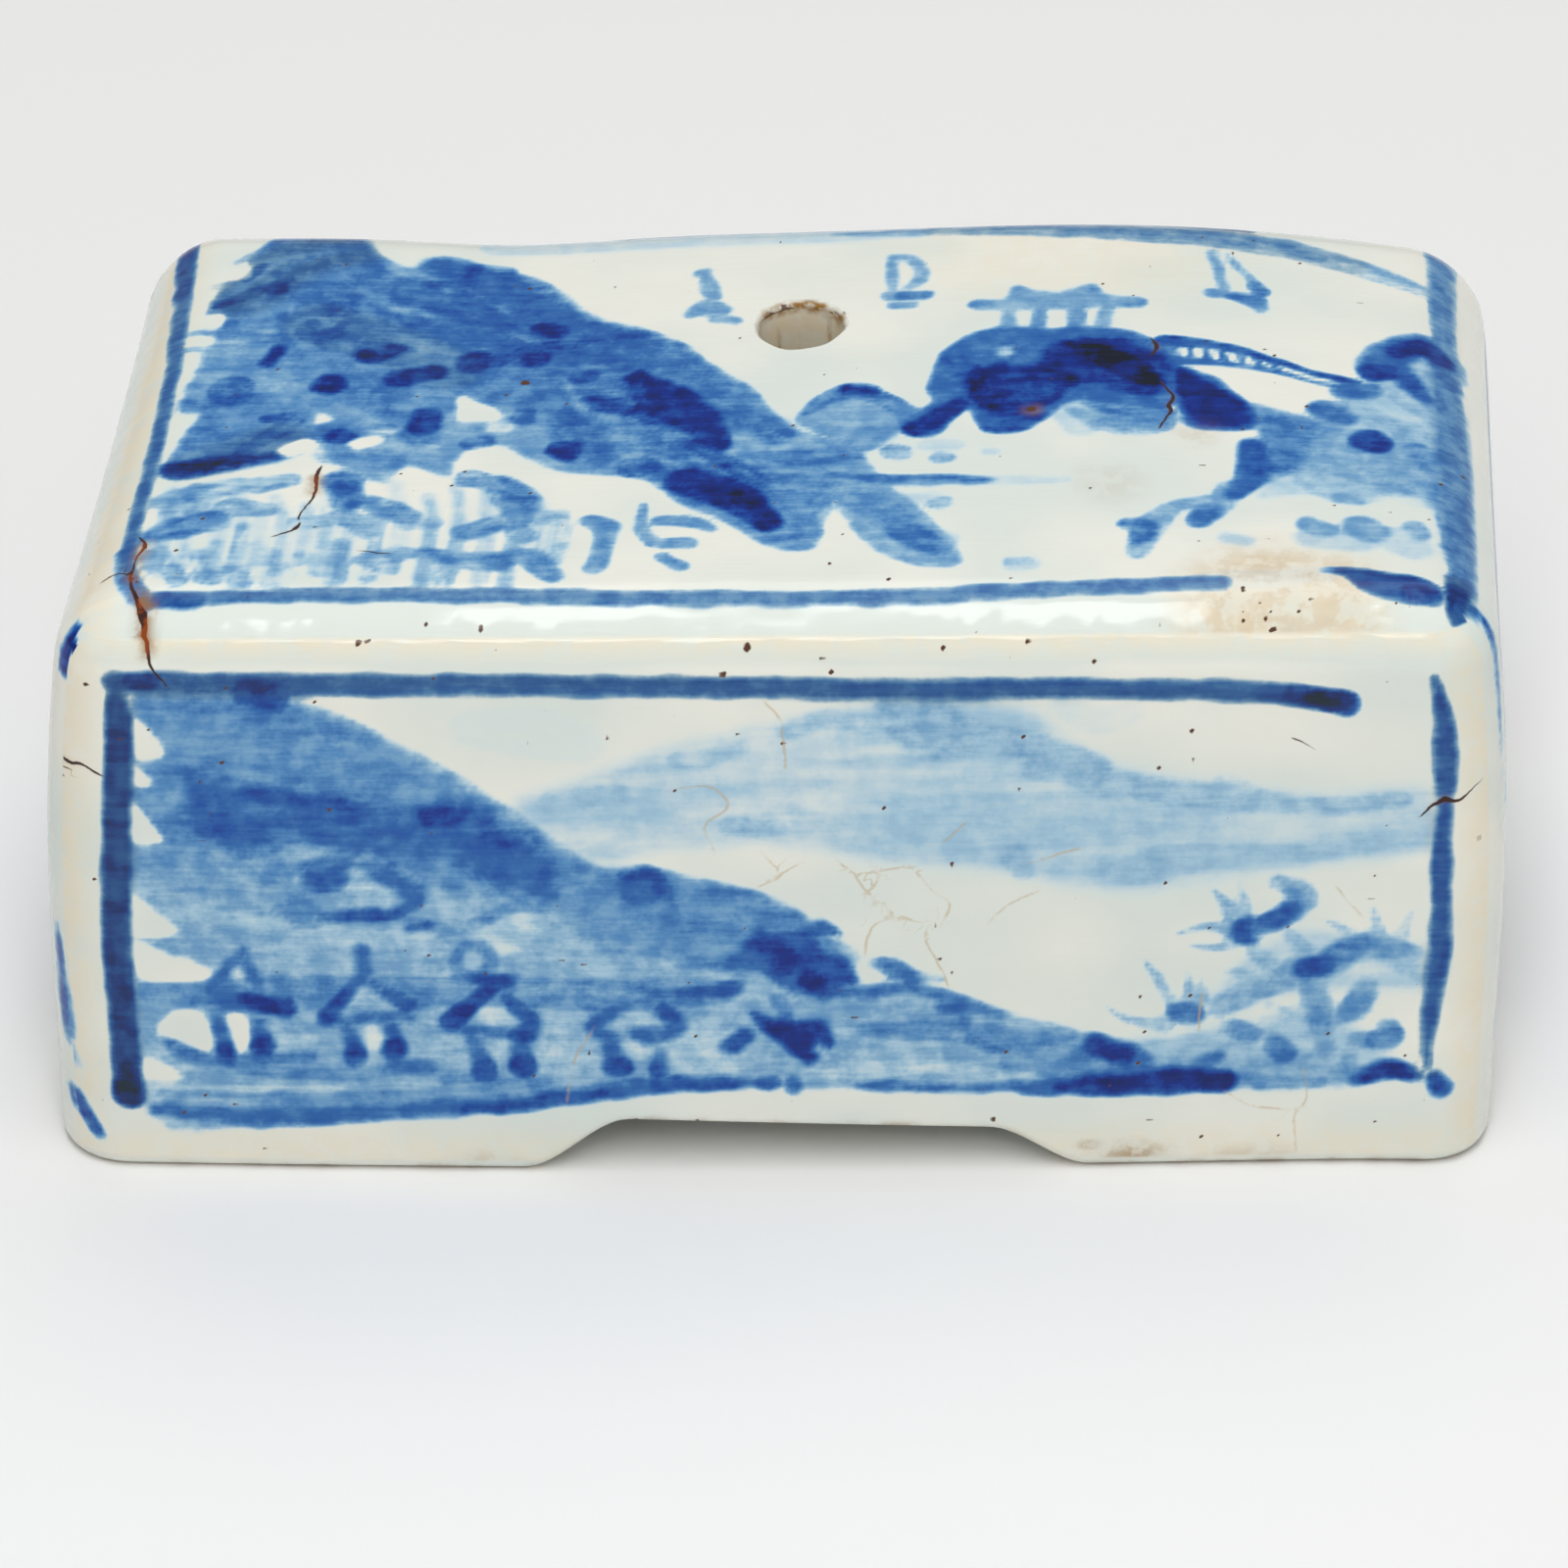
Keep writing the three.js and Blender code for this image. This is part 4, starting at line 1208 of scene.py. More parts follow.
def paint_front_frame(front):
    upper = [(-45, 41.3), (-40, 41.1), (-25, 41), (-8, 40.8), (10, 40.5), (25, 40.4), (34, 40), (38.6, 39.3)]
    front.stroke("light", upper, 1.7)
    front.stroke("mid", upper, (1.5, 1.5, 1.4, 1.3, 1.4, 1.6), 0.88, 0.25)
    front.stroke("deep", upper, (1.1, 1.1, 0.7, 0.5, 0.8, 1.2), 0.32, 0.7)
    front.stroke("dull", upper, 1.9, 0.8, 0.3)
    front.stroke("deep", [(35.6, 39.9), (39, 39.1)], (1.2, 2.0), 0.7, 0.3)
    front.stroke("ink", [(36.8, 39.7), (39, 39.0)], (1.0, 1.8), 0.75, 0.4)
    front.stroke("ink", [(-43.8, 41.4), (-42.4, 41.3)], 1.0, 0.45)
    front.stroke("mid", [(-35.8, 40), (-34.2, 39.9)], (1.8, 2.8), 0.95, 0.2, 0.4)
    front.stroke("deep", [(-36, 40.4), (-34, 40.2)], (1.5, 2.0), 0.5, 0.4)
    front.stroke("ink", [(-36, 40.9), (-34.2, 40.8)], 0.9, 0.3, 0.4)
    front.strokes("mid", (
        ([(-48.9, 19.4), (-48.8, 14), (-48.4, 10.6)], (0.5, 1.0, 0.6), 0.95),
        ([(-48.2, 5.6), (-47.6, 4.2), (-46.8, 2.8)], (0.8, 1.2, 1.0), 1.0),
    ), 0.2)
    front.stroke("deep", [(-48, 5), (-47.1, 3.2)], 0.8, 0.55, 0.3)
    front.stroke("light", [(-48.6, 9.8), (-48.2, 8.2)], 0.8, 0.6, 0.3)
    left = [(-45.1, 41.4), (-44.5, 38), (-44.4, 32), (-44.5, 24), (-44.6, 15), (-44.4, 6.4)]
    front.stroke("mid", left, (0.4, 1.8, 1.9, 1.9, 1.9, 2.1), 1.0)
    front.stroke("deep", left, (0.4, 1.5, 1.5, 1.5, 1.5, 1.8), 0.55, 0.3)
    front.stroke("dull", left, 2.1, 1.0)
    for height, strength in (
        (37.4, 0.3), (35, 0.4), (31, 0.25), (29.6, 0.35), (26, 0.3), (22.6, 0.35), (18.4, 0.2),
    ):
        front.stroke("ink", [(-44.8, height), (-44.1, height - 0.1)], 0.5, strength, edge=0.4)
    front.stroke("ink", [(-44.4, 9), (-44.6, 6.4)], (0.9, 1.7), 0.62, 0.5)
    front.stroke("ink", [(-44.6, 18), (-44.2, 15.6), (-44.7, 13.6), (-43.9, 11.8)], 0.7, 0.4, 0.3)
    right = [(45.2, 41.2), (45.5, 38.6), (45.6, 35), (45.4, 31.9)]
    lower = [(45.4, 30.7), (45.2, 26), (45.2, 21), (45, 16), (44.8, 12.4), (44.7, 8.6)]
    front.stroke("mid", right, (0.1, 1.1, 1.5, 1.3), 1.0)
    front.stroke("mid", lower, (0.8, 1.3, 1.3, 1.2, 1.0, 0.2), 1.0)
    front.stroke("deep", right, (0.2, 1.0, 1.3, 0.8), 0.4, 0.4)
    front.stroke("deep", lower, (0.4, 1.0, 1.2, 1.1, 0.8, 0.1), 0.4, 0.4)
    front.stroke("dull", right, 1.6, 0.6)
    front.stroke("dull", lower, 1.6, 0.5)
    front.stroke("mid", [(45.2, 8), (45.8, 6.6)], (0.8, 1.5))
    front.stroke("deep", [(45.2, 7.6), (45.4, 6.9)], 0.8, 0.7)


def paint_front_water(front):
    """The shore under the mountain, with a dark lower bank."""
    shore = [
        (-43.4, 21), (-36, 20.4), (-28, 20.6), (-20, 20.4), (-12, 20), (-4, 19), (2, 16.6), (9.6, 16),
        (13.1, 14.7), (16.5, 13.5), (18.9, 12.7), (22.2, 11.5), (25, 9.8), (31, 9.6), (38, 9.2),
        (41, 8.2), (38, 6.9), (25, 6.7), (17.6, 6.8), (10, 7), (0, 7.5), (-7.7, 7.2), (-17.4, 5.6),
        (-25, 4.6), (-35.3, 4.0), (-43.2, 4.8),
    ]
    front.fill("light", shore, 0.82, grain=(1, 0.22), edge=0.8)
    front.strokes("light", (
        ([(-42, 8.2), (-30, 8.0), (-20, 8.6)], (1.2, 2.0, 1.6), 0.95),
        ([(-41, 6.6), (-30, 6.4), (-20, 7.2)], (0.8, 1.6, 1.2), 1.0),
        ([(2, 13.8), (10, 13.4), (20, 11)], (3.0, 3.6, 2.6), 1.0),
        ([(12, 10.4), (18, 9.4), (24, 9)], (1.6, 2.6, 2.4), 1.0),
    ), 0.3)
    front.strokes("mid", (
        (
            [(-42.6, 15.5), (-38, 15.2), (-30, 15.6), (-20, 15.6), (-10, 15.4), (-3.4, 15.7)],
            (1.6, 2.6, 2.8, 2.4, 2.6, 1.6), 0.55,
        ),
        ([(-10, 16.2), (-6.6, 15.4), (-3, 15.9)], (1.0, 1.3, 1.4), 0.85),
        ([(-41.3, 10.9), (-40, 9.9), (-37.6, 9.4), (-31.8, 10)], (0.9, 1.4, 1.1, 0.8), 0.8),
        ([(-37, 8.8), (-31, 8.4), (-26, 8.8)], (0.4, 0.9, 0.6), 0.5),
        ([(-22.6, 8), (-19, 7.6), (-16, 8)], (0.9, 1.2, 0.8), 0.5),
        (
            [(-42.4, 5.2), (-35.3, 4.7), (-28, 5.2), (-17.4, 6.2), (-7.7, 7.7), (-1.3, 7.8)],
            (1.2, 1.7, 1.5, 1.5, 1.5, 0.7), 0.95,
        ),
        ([(-42, 6.6), (-34, 6.2), (-24, 6.6)], (0.6, 1.0, 0.6), 0.4),
        ([(2.9, 15.2), (6.1, 15.5), (9.6, 15.8), (14, 14.2)], (0.9, 1.0, 1.0, 0.8), 0.75),
        ([(6, 12.4), (12, 12.2), (17, 11.2), (21.6, 10.2)], (0.8, 1.6, 2.0, 1.6), 0.5),
        ([(16, 9.4), (20, 9), (24, 8.8)], (0.8, 1.6, 1.4), 0.45),
        ([(5.7, 7.6), (8.2, 7.5), (10.8, 7.3), (18, 7.3)], (0.4, 1.0, 0.6, 0.8), 0.9),
        ([(17.2, 7.1), (21.7, 7.5), (27.4, 7.7), (31, 7.6)], (0.8, 2.2, 2.5, 2.3), 1.0),
        ([(22, 10.8), (24, 10), (26, 8.8)], (2.0, 2.4, 1.0), 1.0),
        ([(29, 8.6), (30.4, 9.6)], 1.1, 1.0),
        ([(31, 7.5), (34, 7.5), (37.6, 7.3)], (1.2, 0.9, 0.8), 0.45),
        ([(40.2, 7.5), (42.3, 8.4), (44, 7.8)], (1.0, 1.9, 1.0), 1.0),
    ), 0.25)
    front.strokes("deep", (
        ([(-21.3, 5.5), (-17, 6), (-12, 7)], (0.6, 1.0, 0.4), 0.55),
        ([(-8, 7.8), (-3, 7.8)], (0.9, 0.5), 0.4),
        ([(19.6, 7.2), (22, 7.3), (27.4, 7.6), (31, 7.6)], (0.6, 1.6, 2.0, 1.8), 0.85),
        ([(22.2, 10.7), (24, 10)], (1.5, 1.6), 0.75),
        ([(40.8, 7.6), (42.4, 8.3), (43.6, 7.9)], (0.7, 1.4, 0.8), 0.75),
        ([(-6.2, 15.5), (-3.2, 15.9)], (0.6, 1.0), 0.35),
    ), 0.2)
    front.wipes((
        (
            [
                (-43.3, 21.2), (-41.9, 21.2), (-40.1, 20.2), (-41.9, 19.6), (-40.6, 18.6),
                (-38.3, 16.8), (-41, 16.4), (-43.3, 16.8),
            ],
            1.0,
        ),
        ([(-41, 13.6), (-38.9, 13.4), (-38.7, 10.6), (-40.3, 11.2), (-42, 12)], 1.0),
        ([(-37.6, 13.4), (-36.2, 13.4), (-36.1, 10.8), (-36.9, 10.6)], 1.0),
        ([(-43.2, 9.6), (-41.4, 8.8), (-40.8, 8), (-43.2, 8)], 0.9),
        ([(-40, 7.5), (-33, 7.1), (-29, 7.2), (-34, 7.6)], 0.2),
        ([(-7, 12.2), (-3.6, 12.6), (-1.8, 10), (-2.2, 8.9), (-6.6, 8.9)], 0.2),
        ([(2, 10.6), (7, 11), (11, 10.2), (11, 8.4), (3, 8.2)], 0.12),
        ([(-16, 13), (-13.4, 13.2), (-13, 9), (-15.6, 8.8)], 0.1),
    ))


def paint_front_mountain(front):
    ridge = [
        (-43.5, 40), (-36, 40.2), (-33.3, 39.9), (-28.5, 37.7), (-24.8, 35.6), (-22.2, 34),
        (-19.6, 32.1), (-17, 29.9), (-14.4, 27.5), (-12.1, 26), (-9.7, 26), (-7.3, 25.5), (-5.2, 25),
        (-3.1, 24.5), (-0.8, 23.6), (1.1, 22.5), (2.5, 21.4), (3.8, 20.2), (5.2, 18),
    ]
    slope = ridge + [(4, 16), (-4, 17), (-12, 19), (-20, 19.6), (-30, 19.8), (-43.4, 20)]
    body = ridge + [
        (-2, 17.4), (-8, 19), (-13, 20), (-17, 23.6), (-22, 24.6), (-30, 27.6), (-36, 27.2), (-43, 28),
    ]
    band = [
        (-39.9, 34.4), (-38, 33.8), (-36, 32.6), (-32.8, 32.3), (-28.6, 31.8), (-24.9, 31.3),
        (-22.3, 31.8), (-20.7, 31.3), (-18.6, 30), (-16.3, 27.9), (-14.4, 26), (-14.7, 24.5),
        (-16.3, 23.6), (-19.2, 25.1), (-22.3, 26.7), (-26.3, 27), (-30.2, 28.2), (-32.9, 28.5),
        (-35.8, 27.1), (-37.3, 28.3), (-39, 28.4), (-39.8, 31.2),
    ]
    front.fill("light", slope, 0.85, grain=(-6, 0.2))
    front.fill("light", body, 1.0, edge=0.8)
    front.fill("mid", body, 0.5, grain=(-14, 0.5), edge=1.0)
    front.fill("mid", band, 1.0, grain=(-8, 0.2), edge=1.1)
    front.fill("deep", band, 0.26, grain=(-8, 0.6), edge=1.2)
    front.strokes("mid", (
        ([(-43, 39), (-38, 39), (-33, 38.4), (-27, 36)], (1.6, 2.4, 3.0, 2.0), 0.4),
        ([(-40, 36.4), (-34, 36), (-28, 33.6), (-21, 31.6)], (1.4, 3.0, 3.0, 1.6), 0.4),
        ([(-42.6, 34), (-40, 33.4)], (0.7, 1.4), 0.45),
        ([(-42.8, 31.8), (-40, 30.4)], (0.7, 1.6), 0.4),
        ([(-42.8, 26.6), (-38, 26.4), (-34.6, 26)], (1.0, 2.2, 1.4), 0.4),
        ([(-34, 26), (-33.2, 23.6), (-31.6, 22)], 2.2, 0.45),
        ([(-41.6, 23.4), (-37.6, 23.6), (-34, 22.4)], (1.0, 1.8, 1.2), 0.3),
        ([(-20.6, 21.2), (-17.6, 22.8), (-15.2, 23.6)], (0.5, 0.9, 1.2), 0.5),
        ([(-16, 25.4), (-12, 24.6), (-9, 22.4)], (1.8, 2.4, 1.6), 0.45),
        ([(-12, 20.6), (-9.6, 21), (-7, 19.4)], (1.4, 2.2, 1.4), 0.3),
        ([(-7.4, 24.4), (-3.4, 23.6), (0, 22), (2.6, 20.4)], (1.4, 2.0, 2.0, 1.2), 0.55),
        ([(-25, 21.6), (-22.4, 20.6), (-21, 19.4)], (0.7, 1.0, 0.8), 0.4),
        ([(-6.6, 18.2), (-3.3, 17.9)], 0.7, 0.6),
    ), 0.35)
    front.strokes("deep", (
        ([(-36, 32.1), (-30.2, 31.5), (-27.4, 31)], (0.7, 1.0, 0.6), 0.55),
        ([(-37.6, 29.2), (-33, 29.7), (-28, 30)], (0.4, 0.5, 0.3), 0.4),
        ([(-38.2, 31.6), (-37.2, 29.2)], (1.2, 1.6), 0.3),
        ([(-32, 28.9), (-27, 28.8)], (0.5, 0.8), 0.25),
        ([(-23.2, 30.4), (-21.4, 30.4)], 1.5, 0.7),
        ([(-21, 30.8), (-19.6, 30.4)], 1.0, 0.35),
        ([(-19.2, 28.7), (-17.4, 28.4)], 0.9, 0.55),
        ([(-17, 27.6), (-15.6, 25.6)], (0.8, 1.2), 0.3),
    ), 0.3)
    front.dabs("mid", (
        (-30.3, 25.2, 3.5, 2.4, 15),
        (-8.9, 24.3, 3.4, 3.2, -30),
    ), 0.9)
    front.strokes("mid", (
        ([(-32, 26), (-30, 26.6), (-28, 26.2)], (0.7, 0.8, 0.5), 0.8),
        (
            [(-27.6, 26.2), (-26, 25.3), (-24.5, 24.2), (-24.4, 23.2), (-25.4, 22.6)],
            (0.9, 1.7, 1.5, 1.1, 0.8), 0.9,
        ),
        ([(-30.6, 21.9), (-28, 22), (-25.4, 22.2)], (0.7, 1.1, 0.9), 0.85),
        ([(-24.8, 21), (-23.4, 21.2)], 0.7, 0.8),
    ), 0.1)
    front.strokes("deep", (
        ([(-31.4, 24.8), (-29.8, 24.8)], 1.4, 0.35),
        ([(-28.4, 22), (-25.8, 22.3)], 0.8, 0.5),
        ([(-24.6, 21), (-23.6, 21.2)], 0.4, 0.5),
        ([(-10, 25.6), (-8.4, 25.6), (-7.4, 24)], (0.8, 1.0, 0.8), 0.45),
    ), 0.2)
    front.wipe([(-20.3, 19.7), (-19.8, 20.9), (-17.7, 22.1), (-14.8, 22.6), (-16.4, 20.2), (-18, 18.8)], 0.2)
    front.wipe([(-29, 24.2), (-27.2, 24.8), (-25.8, 23.6), (-27.6, 23.1)], 0.12)
    for outline in (
        [(-43.4, 38.4), (-41.4, 35.7), (-42.1, 35.1), (-43.4, 35.3)],
        [(-43.4, 34.4), (-42.2, 33), (-43.4, 33)],
        [(-43.4, 31.3), (-41.5, 28.7), (-41.9, 28.1), (-43.4, 28.3)],
        [(-43.4, 23.6), (-41.9, 21.9), (-40.4, 20.6), (-43.4, 20.2)],
    ):
        front.wipe(outline)
    paint_shore_rocks(front)


def paint_shore_rocks(front):
    """The dark rock at the mountain's foot, and the small marks beside it."""
    rock = [
        (-3.3, 18.4), (-2.2, 19.5), (-1, 20.7), (-0.1, 20.3), (2.4, 20.7), (2.7, 19.2), (4.1, 18.6),
        (5.2, 17.5), (5.5, 16.5), (4.3, 15.9), (2.9, 15.2), (1, 15.8), (-0.3, 17), (-1.3, 17.8),
        (-2.9, 17.9),
    ]
    front.fill("mid", rock, 1.0)
    front.fill("deep", rock, 0.5, grain=(-20, 0.5), edge=0.9)
    front.stroke("deep", [(0.2, 18.4), (2.4, 17.6), (4.6, 16.9)], (1.6, 2.2, 1.2), 0.6, 0.2)
    front.dab("deep", 2.45, 16.5, 2.1, 1.7, 0)
    front.stroke("mid", [(2.4, 20.9), (3.2, 21.1), (4.3, 20.5)], (1.0, 1.3, 0.4), 0.95)
    front.strokes("mid", (
        ([(7.2, 18), (8.2, 17.4), (9.4, 16.6)], (0.8, 1.5, 1.0), 0.75),
        ([(11.5, 14), (13.3, 14.2), (15.4, 13.5)], (0.9, 1.2, 0.6), 0.85),
        ([(13, 13.8), (13.1, 12.4), (13.8, 11.2), (15.4, 10.4)], (1.2, 0.9, 0.8, 0.8), 0.7),
        ([(0.2, 14.8), (0.6, 13.8)], 1.0, 0.6),
    ))
    front.stroke("light", [(6.6, 18), (8, 17.6), (9.6, 16.9), (11.4, 16.7)], (0.8, 1.8, 1.0, 0.4), 0.7)
    star = [
        (-1.7, 13.7), (-0.6, 13.3), (1, 13.1), (3.1, 13), (3.8, 12), (3.6, 10.9), (2.9, 11.4),
        (2.3, 10.9), (2.7, 10), (2.2, 9.4), (1.3, 10.1), (0.1, 11.4), (-0.7, 12.3),
    ]
    front.fill("mid", star)
    front.fill("deep", star, 0.75, edge=0.7)


def paint_front_posts(front, posts):
    """Posts that end in a heavy dark touch, each (top, foot, width, depth of the touch)."""
    for head, foot, width, strength in posts:
        middle = (0.4 * head[0] + 0.6 * foot[0], 0.4 * head[1] + 0.6 * foot[1])
        front.stroke("mid", [head, middle, foot], (0.8, 0.8 * width, width), 0.95)
        front.dab("deep", *foot, 1.9, 0.9 * width, 88, strength)


def paint_huts(front):
    """Small roofs on posts: an inverted V over a bar."""
    front.strokes("mid", (
        ([(-36.1, 19), (-36.9, 17.7), (-38.6, 15.6)], (0.8, 0.9, 0.9), 0.85),
        ([(-36.1, 18.6), (-35.7, 17.2), (-35, 15.6)], (0.8, 1.0, 1.2), 0.9),
        ([(-39.4, 14.8), (-36.2, 14.7)], (1.3, 1.5), 0.8),
        ([(-36.2, 14.8), (-33.4, 14.2)], (1.5, 1.8), 1.0),
        ([(-28, 19.3), (-28.1, 17)], (0.8, 1.0), 0.85),
        ([(-27.9, 17.2), (-29.2, 15.6), (-30.6, 13.4)], (1.1, 1.2, 1.4), 1.0),
        ([(-27.7, 16.8), (-26.4, 15.6), (-25, 14.5)], (0.7, 1.0, 1.4), 0.95),
        ([(-30.3, 13.2), (-25.1, 13.4)], (0.9, 1.0), 0.85),
        ([(-26.1, 9.3), (-24, 9.0)], 1.3, 0.95),
        ([(-20.5, 16.8), (-18, 16.7)], (1.1, 1.4), 1.0),
        ([(-19, 16.4), (-20.9, 14.5), (-22.1, 13)], (1.4, 1.6, 2.0), 1.0),
        ([(-18.3, 15), (-17, 13.8), (-16.6, 12.7), (-17.5, 11.9)], (1.1, 1.4, 1.3, 1.4), 1.0),
        ([(-21.2, 12.3), (-17.8, 12.1)], 0.8, 0.75),
        ([(-9.9, 14.5), (-11.4, 13.9), (-12.4, 12.5), (-11, 11.8)], (0.9, 1.2, 1.4, 0.9), 0.95),
        ([(-9.4, 12.1), (-7.4, 12.3)], 1.1, 0.8),
        ([(-7.8, 14.2), (-6.8, 13.1), (-7, 12.3), (-8.9, 11.7)], (1.2, 1.4, 1.1, 1.2), 0.95),
        ([(-8, 10.4), (-8.1, 8.8)], (1.0, 1.4), 0.9),
        ([(-2.1, 12), (-3.2, 11)], (1.2, 1.4), 0.95),
        ([(1.1, 8.1), (1.1, 7.4)], 1.1, 0.9),
    ), 0.1)
    ring = [(-20.4 + 1.3 * math.cos(a), 18.3 + 1.3 * math.sin(a)) for a in np.arange(7) * math.pi / 3]
    front.stroke("mid", ring, 0.8, 0.6)
    front.strokes("deep", (
        ([(-35.9, 14.9), (-33.5, 14.2)], (1.1, 1.5), 0.75),
        ([(-29, 15.7), (-30.4, 13.6)], (0.8, 1.0), 0.55),
        ([(-26.2, 15.4), (-25.1, 14.6)], 1.0, 0.55),
        ([(-19.8, 16.7), (-18.4, 16.6)], 1.0, 0.55),
        ([(-19.6, 15.8), (-22, 13.2)], (1.0, 1.5), 0.6),
        ([(-17.8, 14.6), (-16.8, 13.4)], 0.8, 0.4),
        ([(-17.6, 12), (-17, 12)], 0.9, 0.45),
        ([(-12.2, 12.8), (-11.8, 12.2)], 1.0, 0.35),
        ([(-7.6, 14), (-7, 12.9)], 0.9, 0.35),
        ([(-2.3, 11.9), (-3, 11.2)], 0.8, 0.4),
        ([(-0.9, 7.8), (-0.5, 7.8)], 1.1, 0.6),
        ([(-8.1, 9.2), (-8, 8.8)], 0.8, 0.5),
    ))
    paint_front_posts(front, (
        ((-38.2, 13.6), (-37.6, 10.2), 1.4, 0.55),
        ((-35.3, 12.8), (-35, 10.9), 1.8, 0.7),
        ((-29.4, 12.8), (-28.8, 10.2), 1.5, 0.5),
        ((-26.3, 12.6), (-26.1, 10.7), 1.8, 0.65),
        ((-20.7, 12), (-20, 8.9), 1.8, 0.5),
        ((-17.6, 11.6), (-17.4, 9.5), 1.9, 0.6),
        ((-11.4, 11.7), (-10.9, 9.3), 2.1, 0.6),
    ))
    front.strokes("light", (
        ([(-1.1, 11), (-1.1, 8.4)], 0.9, 0.95),
        ([(1.4, 9.3), (1.2, 7.9)], 0.9, 0.95),
    ))
    front.wipes((
        ([(-36.7, 17.3), (-36.2, 17.6), (-36, 16.6), (-36.8, 16.4)], 0.35),
        ([(-28.6, 15.7), (-27.7, 16), (-26.3, 14.5), (-29, 14.3)], 0.28),
        ([(-28, 12.7), (-27.1, 12.7), (-27.2, 10.8), (-28, 10.6)], 0.35),
        ([(-20.3, 13.8), (-19.2, 14.6), (-18.2, 13.4), (-19.6, 12.8)], 0.35),
        ([(-18.9, 11.4), (-18.5, 11.4), (-18.6, 9.6), (-19, 9.6)], 0.2),
        ([(-10.8, 13.4), (-8.6, 13.6), (-8.4, 12.9), (-10.6, 12.6)], 0.25),
        ([(-9.7, 11.4), (-9.1, 11.4), (-9.1, 10), (-9.6, 10)], 0.3),
    ))


def paint_haze(front):
    """Far hills in pale washes."""
    far = [
        (-17.5, 31.2), (-13.4, 33.2), (-7, 35.8), (-1, 37.4), (4, 38.8), (12, 39.6), (17.5, 38.6),
        (20, 36.2), (24, 34), (31, 32.4), (38, 31.6), (44.2, 31.8), (44.2, 27.2), (37.5, 26),
        (31.8, 25.1), (24.6, 23.9), (20, 24.6), (15, 25.6), (10, 26.2), (5, 27), (0, 28.1), (-4, 28.4),
        (-8, 27.6), (-12, 26.6), (-14.6, 28.4),
    ]
    near_hill = [
        (20.6, 26), (23.7, 27.1), (27.2, 28), (31.8, 28.2), (37.5, 28.1), (40.9, 28.7), (44, 28.1),
        (44, 27.1), (37.5, 25.9), (31.8, 25.1), (27.3, 24.5), (24.6, 23.9), (21.6, 24.7),
    ]
    front.fill("wash", far, 0.9, grain=(2, 0.4), edge=1.2)
    front.fill("wash", near_hill, 1.0, grain=(3, 0.2), edge=0.8)
    front.strokes("wash", (
        ([(-17, 30.4), (-10, 31.2), (-4, 31)], (1.6, 4.0, 3.0), 0.7),
        ([(-20.6, 37.6), (-16, 37.2), (-13, 36.4)], (1.8, 3.2, 2.2), 0.25),
        ([(-12, 28.4), (-6, 29), (-2, 29)], (2.0, 2.6, 1.6), 0.65),
        ([(2, 32), (10, 31), (18, 30.6)], (3.0, 5.0, 4.0), 0.65),
        ([(20, 30.6), (32, 30.2), (43.6, 30)], (3.0, 2.4, 2.4), 0.6),
        ([(22.6, 26), (26, 26.2), (29, 26.4)], (1.8, 2.6, 1.6), 1.0),
        ([(19.6, 39), (22, 37.8), (24.4, 38.4)], (0.6, 1.2, 0.6), 0.35),
    ), 0.3, 1.0)
    front.strokes("light", (
        ([(1, 37.2), (3.8, 38.2), (6.2, 38), (8, 38.6)], (0.8, 1.3, 1.4, 1.8), 0.45),
        (
            [(8.4, 38.8), (11, 37.2), (14, 36.4), (17, 36), (19.6, 34.8), (22, 33.8)],
            (2.8, 4.6, 2.4, 2.0, 2.4, 2.0), 0.6,
        ),
        (
            [
                (18, 34.4), (20.3, 34.2), (22.6, 32.9), (26, 32.1), (30.9, 31.6), (34.1, 30.9),
                (37.5, 30.6), (42.6, 31.2),
            ],
            (2.2, 2.6, 2.2, 1.8, 1.6, 1.2, 1.0, 0.7), 0.5,
        ),
        ([(30.6, 33), (31.6, 32.6)], 0.8, 0.4),
        ([(-6.6, 34.8), (-4, 35.2), (-2.2, 35.8)], (0.6, 0.9, 0.6), 0.35),
        ([(-2.8, 29.5), (-1, 29.3)], 1.2, 0.5),
        ([(0, 29.8), (1, 30.4)], 1.4, 0.25),
        ([(15.8, 27.6), (16.8, 25.8)], (1.6, 1.2), 0.42),
        ([(-14.6, 31.4), (-10.6, 32.2)], (1.6, 1.2), 0.3),
        ([(23, 26), (26, 26.2)], (1.4, 1.8), 0.3),
        ([(36, 27.2), (40, 27.6)], (1.2, 1.4), 0.2),
    ), 0.25, 0.8)


def paint_spikes(front, leaves):
    """Thin leaves that taper to a point, each (root, middle, tip, width at the root, strength)."""
    for root, middle, tip, width, strength in leaves:
        front.stroke("light", [root, middle, tip], (width, 0.6 * width, 0.12), strength)


